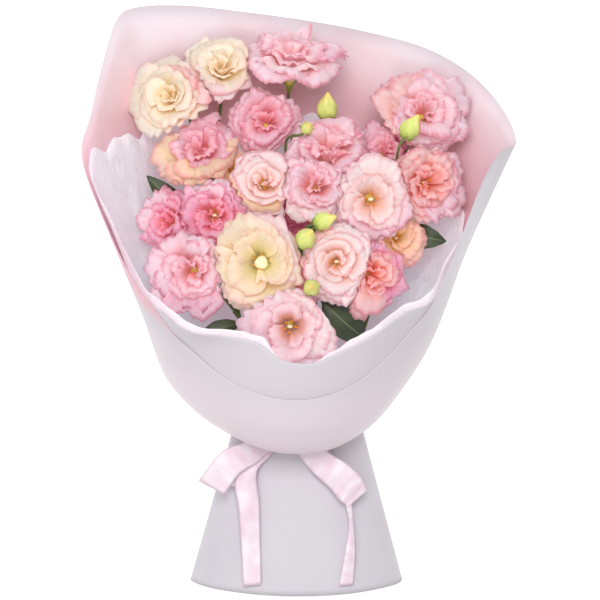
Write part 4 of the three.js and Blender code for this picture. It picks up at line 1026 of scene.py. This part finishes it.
def add_stamens(body, name, place, basis, draw):
    """Five stamens round a pistil, over the heart of an open bloom"""
    radius, height = place.radius, place.height
    base = 0.3 * height

    def seated(points):
        return np.asarray(points, float) @ basis.T + place.root

    for k in range(5):
        angle = (k + draw.uniform(0, 0.5)) / 5 * 2 * math.pi
        side = np.array([math.cos(angle), math.sin(angle), 0.0])
        top = draw.uniform(0.52, 0.6) * height
        line = [side * radius * 0.03 + [0, 0, base], side * radius * 0.09 + [0, 0, top * 0.8],
                side * radius * 0.12 + [0, 0, top]]
        add_tube(body, seated(smooth_line(line, 4)), 0.45, 6, slot=FILAMENT_SLOT)
        head = seated(side * radius * 0.12 + [0, 0, top + 1.5])
        tilt = basis @ np.array([side[0] * 0.6, side[1] * 0.6, 0.8])
        add_turned(body, ANTHER_PROFILE, 8, basis_at(tilt), head, slot=ANTHER_SLOT)
    upright = basis_at(place.facing)
    if name == "cream_open":
        seat = seated([-2.0, -1.0, 0.62 * height])
        add_turned(body, BROAD_PISTIL_PROFILE, 28, upright, seat, 0.4, PISTIL_SLOT, 1.4, 3, 0.09)
        return
    add_tube(body, seated([[0, 0, base], [0, 0, 0.5 * height]]), 0.9, 8, slot=FILAMENT_SLOT)
    seat = seated([0, 0, 0.5 * height + 1])
    add_turned(body, PISTIL_PROFILE, 14, upright, seat, 0.4, PISTIL_SLOT, 0.0, 2, 0.25)


def bloom(name):
    """One flower: whorls of petals round its heart, with stamens where it is open"""
    place = PLACES[name]
    facts = BLOOMS[name]
    number = BLOOM_NAMES.index(name)
    form = FORMS[facts.form]
    basis = basis_at(place.facing, 2 * math.pi * chance(number, 1))
    body = Body()
    draw = np.random.default_rng(1000 + number)
    for level, whorl in enumerate(form.whorls, start=1):
        turn = 0.4 * level + 0.2 * chance(number, level)
        aside = np.array([*draw.uniform(-1, 1, 2), 0.0]) * OFF_CENTRE * (level - 1) * place.radius
        for k in range(whorl.petals):
            middle = (k + turn + draw.uniform(-0.12, 0.12)) / whorl.petals * 2 * math.pi
            grid = petal_grid(place, form, whorl, middle, draw) + aside * PETAL_ALONG[:, None, None]
            grid = press(name, grid @ basis.T + place.root)
            heading = basis @ np.array([math.cos(middle), math.sin(middle), 0.0])
            bearing = math.degrees(math.atan2(heading[1], heading[0]))
            turned = abs((bearing - facts.bearing + 180) % 360 - 180)
            second = 2 if turned < facts.within and level <= 2 else 0
            inner = (level - 1) / (len(form.whorls) - 1)
            marks = marked(grid, PETAL_ALONG[:, None], PETAL_ACROSS / 2 + 0.5, draw.uniform(), inner)
            taper = PETAL_SHEET * (1 - 0.5 * PETAL_ALONG[:, None] ** 2)
            add_shell(body, grid, taper, marks, (second + 1, second))
    profile = np.array(HEART_PROFILE) * [place.radius, place.height]
    profile[0, 1] = HEART_LIFT
    add_turned(body, profile, 14, basis, place.root, slot=HEART_SLOT)
    if facts.form != "frilled" or name in ("deep_left", "coral_right"):
        add_stamens(body, name, place, basis, draw)
    petals = [material for look in facts.looks for material in PETALS[look]]
    materials = [*petals, HEART_GREEN, FILAMENT, ANTHER, PISTIL_WHITE]
    body.piece(f"flower_{name}", materials, [f"bloom_{name}"], form.slot)


# Sprays of stems, calyces, buds and leaves

Leaf = namedtuple("Leaf", "base tip width up")
Spray = namedtuple("Spray", "slot by fork blooms buds leaf", defaults=((), None))
SPRAYS = {
    "front_far_left": Spray(
        (-1.5, 1), None, (-34, -48, 84), ["cream_open", "pale_left"],
        leaf=Leaf((-55, -22, 92), (-104, -38, 100), 17, (0, 0.4, 1)),
    ),
    "front_left": Spray((-0.5, 1), None, (-6, -60, 90), ["pink_front", "pink_low"], ["round"]),
    "front_right": Spray((0.5, 1), None, (16, -38, 84), ["pale_rose"], ["pair_low", "pair_high"]),
    "front_far_right": Spray(
        (1.5, 1), (38, -68, 72), (62, -44, 86), ["coral_lower", "peach_back"],
        leaf=Leaf((64, -36, 88), (22, 0, 116), 32, (0.2, -0.3, 1)),
    ),
    "middle_far_left": Spray(
        (-1.5, 0), None, (-66, -10, 58), ["deep_left", "pink_left"],
        leaf=Leaf((-110, 70, 60), (-153, 126, 78), 26, (0.4, 0, 1)),
    ),
    "middle_left": Spray((-0.5, 0), None, (-34, 10, 55), ["pale_upper", "peach_open"]),
    "middle_right": Spray(
        (0.5, 0), None, (4, 10, 52), ["pink_middle", "deep_back"],
        leaf=Leaf((12, 60, 62), (32, 84, 112), 20, (-0.6, -0.6, 0.6)),
    ),
    "middle_far_right": Spray(
        (1.5, 0), None, (58, 10, 56), ["pale_right", "coral_right"],
        leaf=Leaf((104, 70, 62), (148, 60, 76), 26, (-0.4, 0, 1)),
    ),
    "back_far_left": Spray((-1.5, -1), (-50, 0, 38), (-94, 118, 44), ["cream_left", "cream_top"]),
    "back_left": Spray((-0.5, -1), (-26, 0, 30), (-56, 80, 30), ["peach_left", "pink_upper"]),
    "back_right": Spray((0.5, -1), (2, 0, 30), (2, 86, 32), ["pink_top", "pink_wide"], ["small"]),
    "back_far_right": Spray(
        (1.5, -1), (34, 0, 34), (80, 92, 38), ["pink_top_right", "coral_back"], ["upright", "slanted"],
    ),
}
CALYX = [(1.5, -10), (2, -9), (3.0, -7), (3.8, -4), (4.3, -1.5), (4.6, 0.2)]
BUD_PROFILE = [
    (0.12, -1.1), (0.46, -1.0), (0.72, -0.75), (0.86, -0.4), (0.86, -0.05), (0.76, 0.3), (0.6, 0.62),
    (0.42, 0.92), (0.26, 1.18), (0.14, 1.36), (0.04, 1.46),
]
SEPAL_SLOT, BUD_SLOT, LEAF_SLOT = 1, 2, 3


def add_leaf(body, leaf, draw):
    base, tip = np.array(leaf.base, float), np.array(leaf.tip, float)
    along = tip - base
    side = unit(np.cross(along, leaf.up))
    rise = unit(np.cross(side, along))
    t = np.linspace(0, 1, 22)[:, None]
    s = np.linspace(-1, 1, 13)[None, :]
    half = np.interp(t, [0, 0.08, 0.3, 0.55, 0.8, 0.93, 1], [0.06, 0.3, 0.86, 1, 0.62, 0.28, 0.02])
    wave = 0.04 * np.sin(9 * t + 3 * s + 6 * draw) * np.abs(s)
    lift = leaf.width * (0.35 * np.sin(math.pi * t) + 0.14 * half * np.abs(s) ** 1.2 + wave)
    out = s * half * leaf.width / 2
    grid = base + t[..., None] * along + out[..., None] * side + lift[..., None] * rise
    add_shell(body, grid, LEAF_SHEET, marked(grid, t, s / 2 + 0.5, draw), (LEAF_SLOT, LEAF_SLOT))


def add_sepals(body, root, facing, radius, draw):
    """Five long thin sepals that hug the foot of a bloom or bud, with hair-fine tips"""
    basis = basis_at(facing, draw.uniform(0, 6))
    for k in range(5):
        angle = (k + draw.uniform(-0.15, 0.15)) / 5 * 2 * math.pi
        length = radius * draw.uniform(0.5, 0.8)
        out = np.array([4.4, 4.4 + 0.34 * length, 4.4 + 0.78 * length]) * draw.uniform(0.95, 1.1)
        rise = np.array([-1.0, 0.42 * length, 0.72 * length])
        line = np.stack([out * math.cos(angle), out * math.sin(angle), rise], 1)
        line = smooth_line(line, 6) @ basis.T + root
        add_tube(body, line, 0.75 * np.linspace(1, 0.12, len(line)), 6, slot=SEPAL_SLOT)


def add_branch(body, start, end, direction, via, radii, draw):
    """A branch that leaves a stem at a point, passes another and arrives at its end along a direction"""
    arrival = end - 12 * direction
    middle = (start + arrival) / 2 if via is None else via
    line = smooth_line([start, middle, arrival, end], 7)
    add_tube(body, line, np.linspace(*radii, len(line)), 10, draw.uniform())


def spray(name):
    """A stem from its cut foot through its slot in the tie to a fork, then branches to its flowers"""
    facts = SPRAYS[name]
    column, row = facts.slot
    body = Body()
    draw = np.random.default_rng(300 + list(SPRAYS).index(name))
    tie = np.array([column * SLOT_PITCH, TIE_Y, TIE_Z + row * SLOT_PITCH])
    foot = np.array([tie[0] * 3, FOOT_Y - 12 * chance(column + 2, row + 2), TIE_Z + row * 13])
    fork = np.array(facts.fork, float)
    exit_point = tie - [0, 14, 0]
    entry = tie + [0, 14, 0]
    by = [np.array(facts.by, float)] if facts.by else []
    course = smooth_line([foot, exit_point, tie, entry, *by, fork], 8)
    add_tube(body, course, STEM_RADIUS, 12, draw.uniform())
    start = fork + 0.1 * ((by[-1] if by else entry) - fork)
    for bloom_name in facts.blooms:
        root, facing, _, radius, _ = PLACES[bloom_name]
        add_branch(body, start, root - 6 * facing, facing, None, (BRANCH_RADIUS * 1.15, BRANCH_RADIUS), draw)
        add_turned(body, CALYX, 16, basis_at(facing), root, draw.uniform(), SEPAL_SLOT, 0.0, 5, 0.08)
        add_sepals(body, root, facing, radius, draw)
    for bud_name in facts.buds:
        bud = BUDS[bud_name]
        middle, facing = np.array(bud.at, float), unit(np.array(bud.points, float))
        end = middle - 0.8 * bud.radius * facing
        add_branch(body, start, end, facing, np.array(bud.via, float), (BRANCH_RADIUS, 1.1), draw)
        profile = np.array(BUD_PROFILE) * bud.radius
        add_turned(body, profile, 40, basis_at(facing), middle, draw.uniform(), BUD_SLOT, 2.6, 4, 0.1)
        add_sepals(body, middle - 1.1 * bud.radius * facing, facing, bud.radius * 1.4, draw)
    if facts.leaf:
        add_leaf(body, facts.leaf, draw.uniform())
    body.piece(f"sprig_{name}", [STALK, SEPAL, BUD_SKIN, LEAF], [f"spray_{name}"], "green")


# The twine and the ribbon


def twine():
    """Three turns of twine round the bundle of stems"""
    body = Body()
    width = 1.5 * SLOT_PITCH + STEM_RADIUS + CLEARANCE + TWINE_RADIUS
    height = SLOT_PITCH + STEM_RADIUS + CLEARANCE + TWINE_RADIUS
    turns = 3
    angle = np.linspace(0, 2 * math.pi * turns, 54 * turns)
    power = 0.6
    x = width * np.sign(np.cos(angle)) * np.abs(np.cos(angle)) ** power
    z = TIE_Z + height * np.sign(np.sin(angle)) * np.abs(np.sin(angle)) ** power
    y = TIE_Y - 2 + 4 * angle / angle[-1]
    add_tube(body, np.stack([x, y, z], 1), TWINE_RADIUS, 8, 0.5)
    body.piece("twine_coil", [JUTE], ["stem_twine"], "twine")


KNOT_AT = (-8, -107.5, 67.2)
KNOT = [(0.4, -5), (3.2, -4.9), (5.4, -4.2), (6.8, -2), (7, 0), (6.6, 2), (5.2, 4.1), (2.6, 4.9), (0.4, 5)]
BAND_ROWS = (0.05, 0.85)

# The ribbon's strips, as pairs of points on their two edges: the loop's front and back, the left tail, and
# the right strand and its tail
RIBBON_STRIPS = [
    [
        [(-11, -109, 66.5), (-10, -114, 67)], [(-22, -121, 79), (-15, -128, 82)],
        [(-34, -130, 86), (-22, -142, 86)], [(-55, -141, 91), (-41, -161, 89)],
        [(-77, -150, 94), (-59, -172, 92)], [(-101, -180, 89), (-75, -194, 89)],
    ],
    [
        [(-100, -180, 88), (-88, -187, 88)], [(-82, -172, 83), (-72, -188, 82)],
        [(-52, -160, 84), (-44, -176, 84)],
    ],
    [
        [(-12, -108, 66), (-8, -113, 67)], [(-25, -125, 78), (-14, -128, 80.5)],
        [(-44, -144, 84), (-28, -154, 84)], [(-64, -179, 85), (-42, -170, 85)],
        [(-61, -206, 84), (-40, -204, 84)], [(-58, -246, 84), (-39, -246, 84)],
        [(-56, -286, 85), (-38, -284, 86)],
    ],
    [
        [(-6, -109, 66.5), (-8, -114, 67)], [(1, -121, 79), (-7, -128, 82)],
        [(14, -134, 87), (-4, -148, 86)], [(31, -152, 92), (12, -170, 88)],
        [(48, -163, 94), (30, -187, 88)], [(62, -177, 92), (42, -201, 88)],
        [(68, -190, 88), (49, -206, 87)],
    ],
    [
        [(46, -201, 87.5), (52, -197, 88)], [(50, -222, 86), (54, -222, 84)],
        [(46, -251, 85), (56, -251, 84)], [(40, -286, 85), (54, -284, 84)],
    ],
]


def ribbon_bow():
    """The satin bow: a band round the neck, its knot, and strips that run from it"""
    body = Body()
    degrees = all_round(120)
    rows = np.linspace(*BAND_ROWS, 8)[:, None]
    band = wrap_points(degrees, rows) - wrap_normals(degrees, 0.5) * (CLEARANCE + 0.4)
    marks = marked(band, (degrees + 90) / 360, np.linspace(0, 1, 8)[:, None])
    add_shell(body, band, RIBBON_SHEET, marks, closed=True)
    add_turned(body, KNOT, 36, basis_at((-0.3, 0, 1)), np.array(KNOT_AT), 0.3, 0, 0.8, 3, 0.12)
    across = np.linspace(0, 1, 11)
    for number, pairs in enumerate(np.array(strip, float) for strip in RIBBON_STRIPS):
        left = smooth_line(pairs[:, 0], 10)
        right = smooth_line(pairs[:, 1], 10)
        grid = left[:, None] + (right - left)[:, None] * across[None, :, None]
        length = np.linspace(0, 1, len(left))[:, None]
        crown = 0.5 * np.sin(math.pi * across)[None] + 0.25 * np.sin(9 * length + 5 * across[None])
        grid[..., 2] += crown * np.sin(math.pi * np.clip(length * 6, 0, 0.5))
        add_shell(body, grid, RIBBON_SHEET, marked(grid, length, across, chance(number, 3)))
    ribbon = body.piece("ribbon_bow", [SATIN], ["satin_ribbon"], "satin_ribbon")


# The floor, the light and the camera


def add_object(name, data, at=(0, 0, 0)):
    added = bpy.data.objects.new(name, data)
    added.location = at
    bpy.context.scene.collection.objects.link(added)
    return added


def stage_set():
    mesh = bpy.data.meshes.new("floor")
    turns = [(-1, -1), (1, -1), (1, 1), (-1, 1)]
    corners = [(x * FLOOR_REACH, y * FLOOR_REACH, FLOOR_Z) for x, y in turns]
    mesh.from_pydata(corners, [], [(0, 1, 2, 3)])
    floor = add_object("floor", mesh)
    lit = {"Emission Color": WHITE, "Emission Strength": FLOOR_GLOW}
    whites = (250, 250, 250), (253, 253, 253)
    mesh.materials.append(plain_material("floor_finish", *whites, 0.9, 4.0, bump=0.0, constants=lit))
    world = bpy.data.worlds.new("studio")
    world.use_nodes = True
    background = world.node_tree.nodes["Background"].inputs
    background["Color"].default_value = WHITE
    background["Strength"].default_value = WORLD_LIGHT
    bpy.context.scene.world = world
    for name, (at, size, power) in LAMPS.items():
        light = bpy.data.lights.new(name, "AREA")
        light.size = size
        light.energy = power
        lamp = add_object(name, light, at)
        lamp.rotation_euler = Vector(at).to_track_quat("Z", "Y").to_euler()


def camera():
    data = bpy.data.cameras.new("view")
    data.sensor_width = 36
    data.lens = CAMERA_LENS
    data.clip_start = 0.1
    data.clip_end = 100
    bpy.context.scene.camera = add_object("view", data, into_frame((*CAMERA_AT, CAMERA_HEIGHT)))
    bpy.context.scene.view_settings.view_transform = "Standard"


camera()
stage_set()
pink_paper()
frosted_film()
tissue_liner()
for bloom_name in BLOOM_NAMES:
    bloom(bloom_name)
for spray_name in SPRAYS:
    spray(spray_name)
twine()
ribbon_bow()
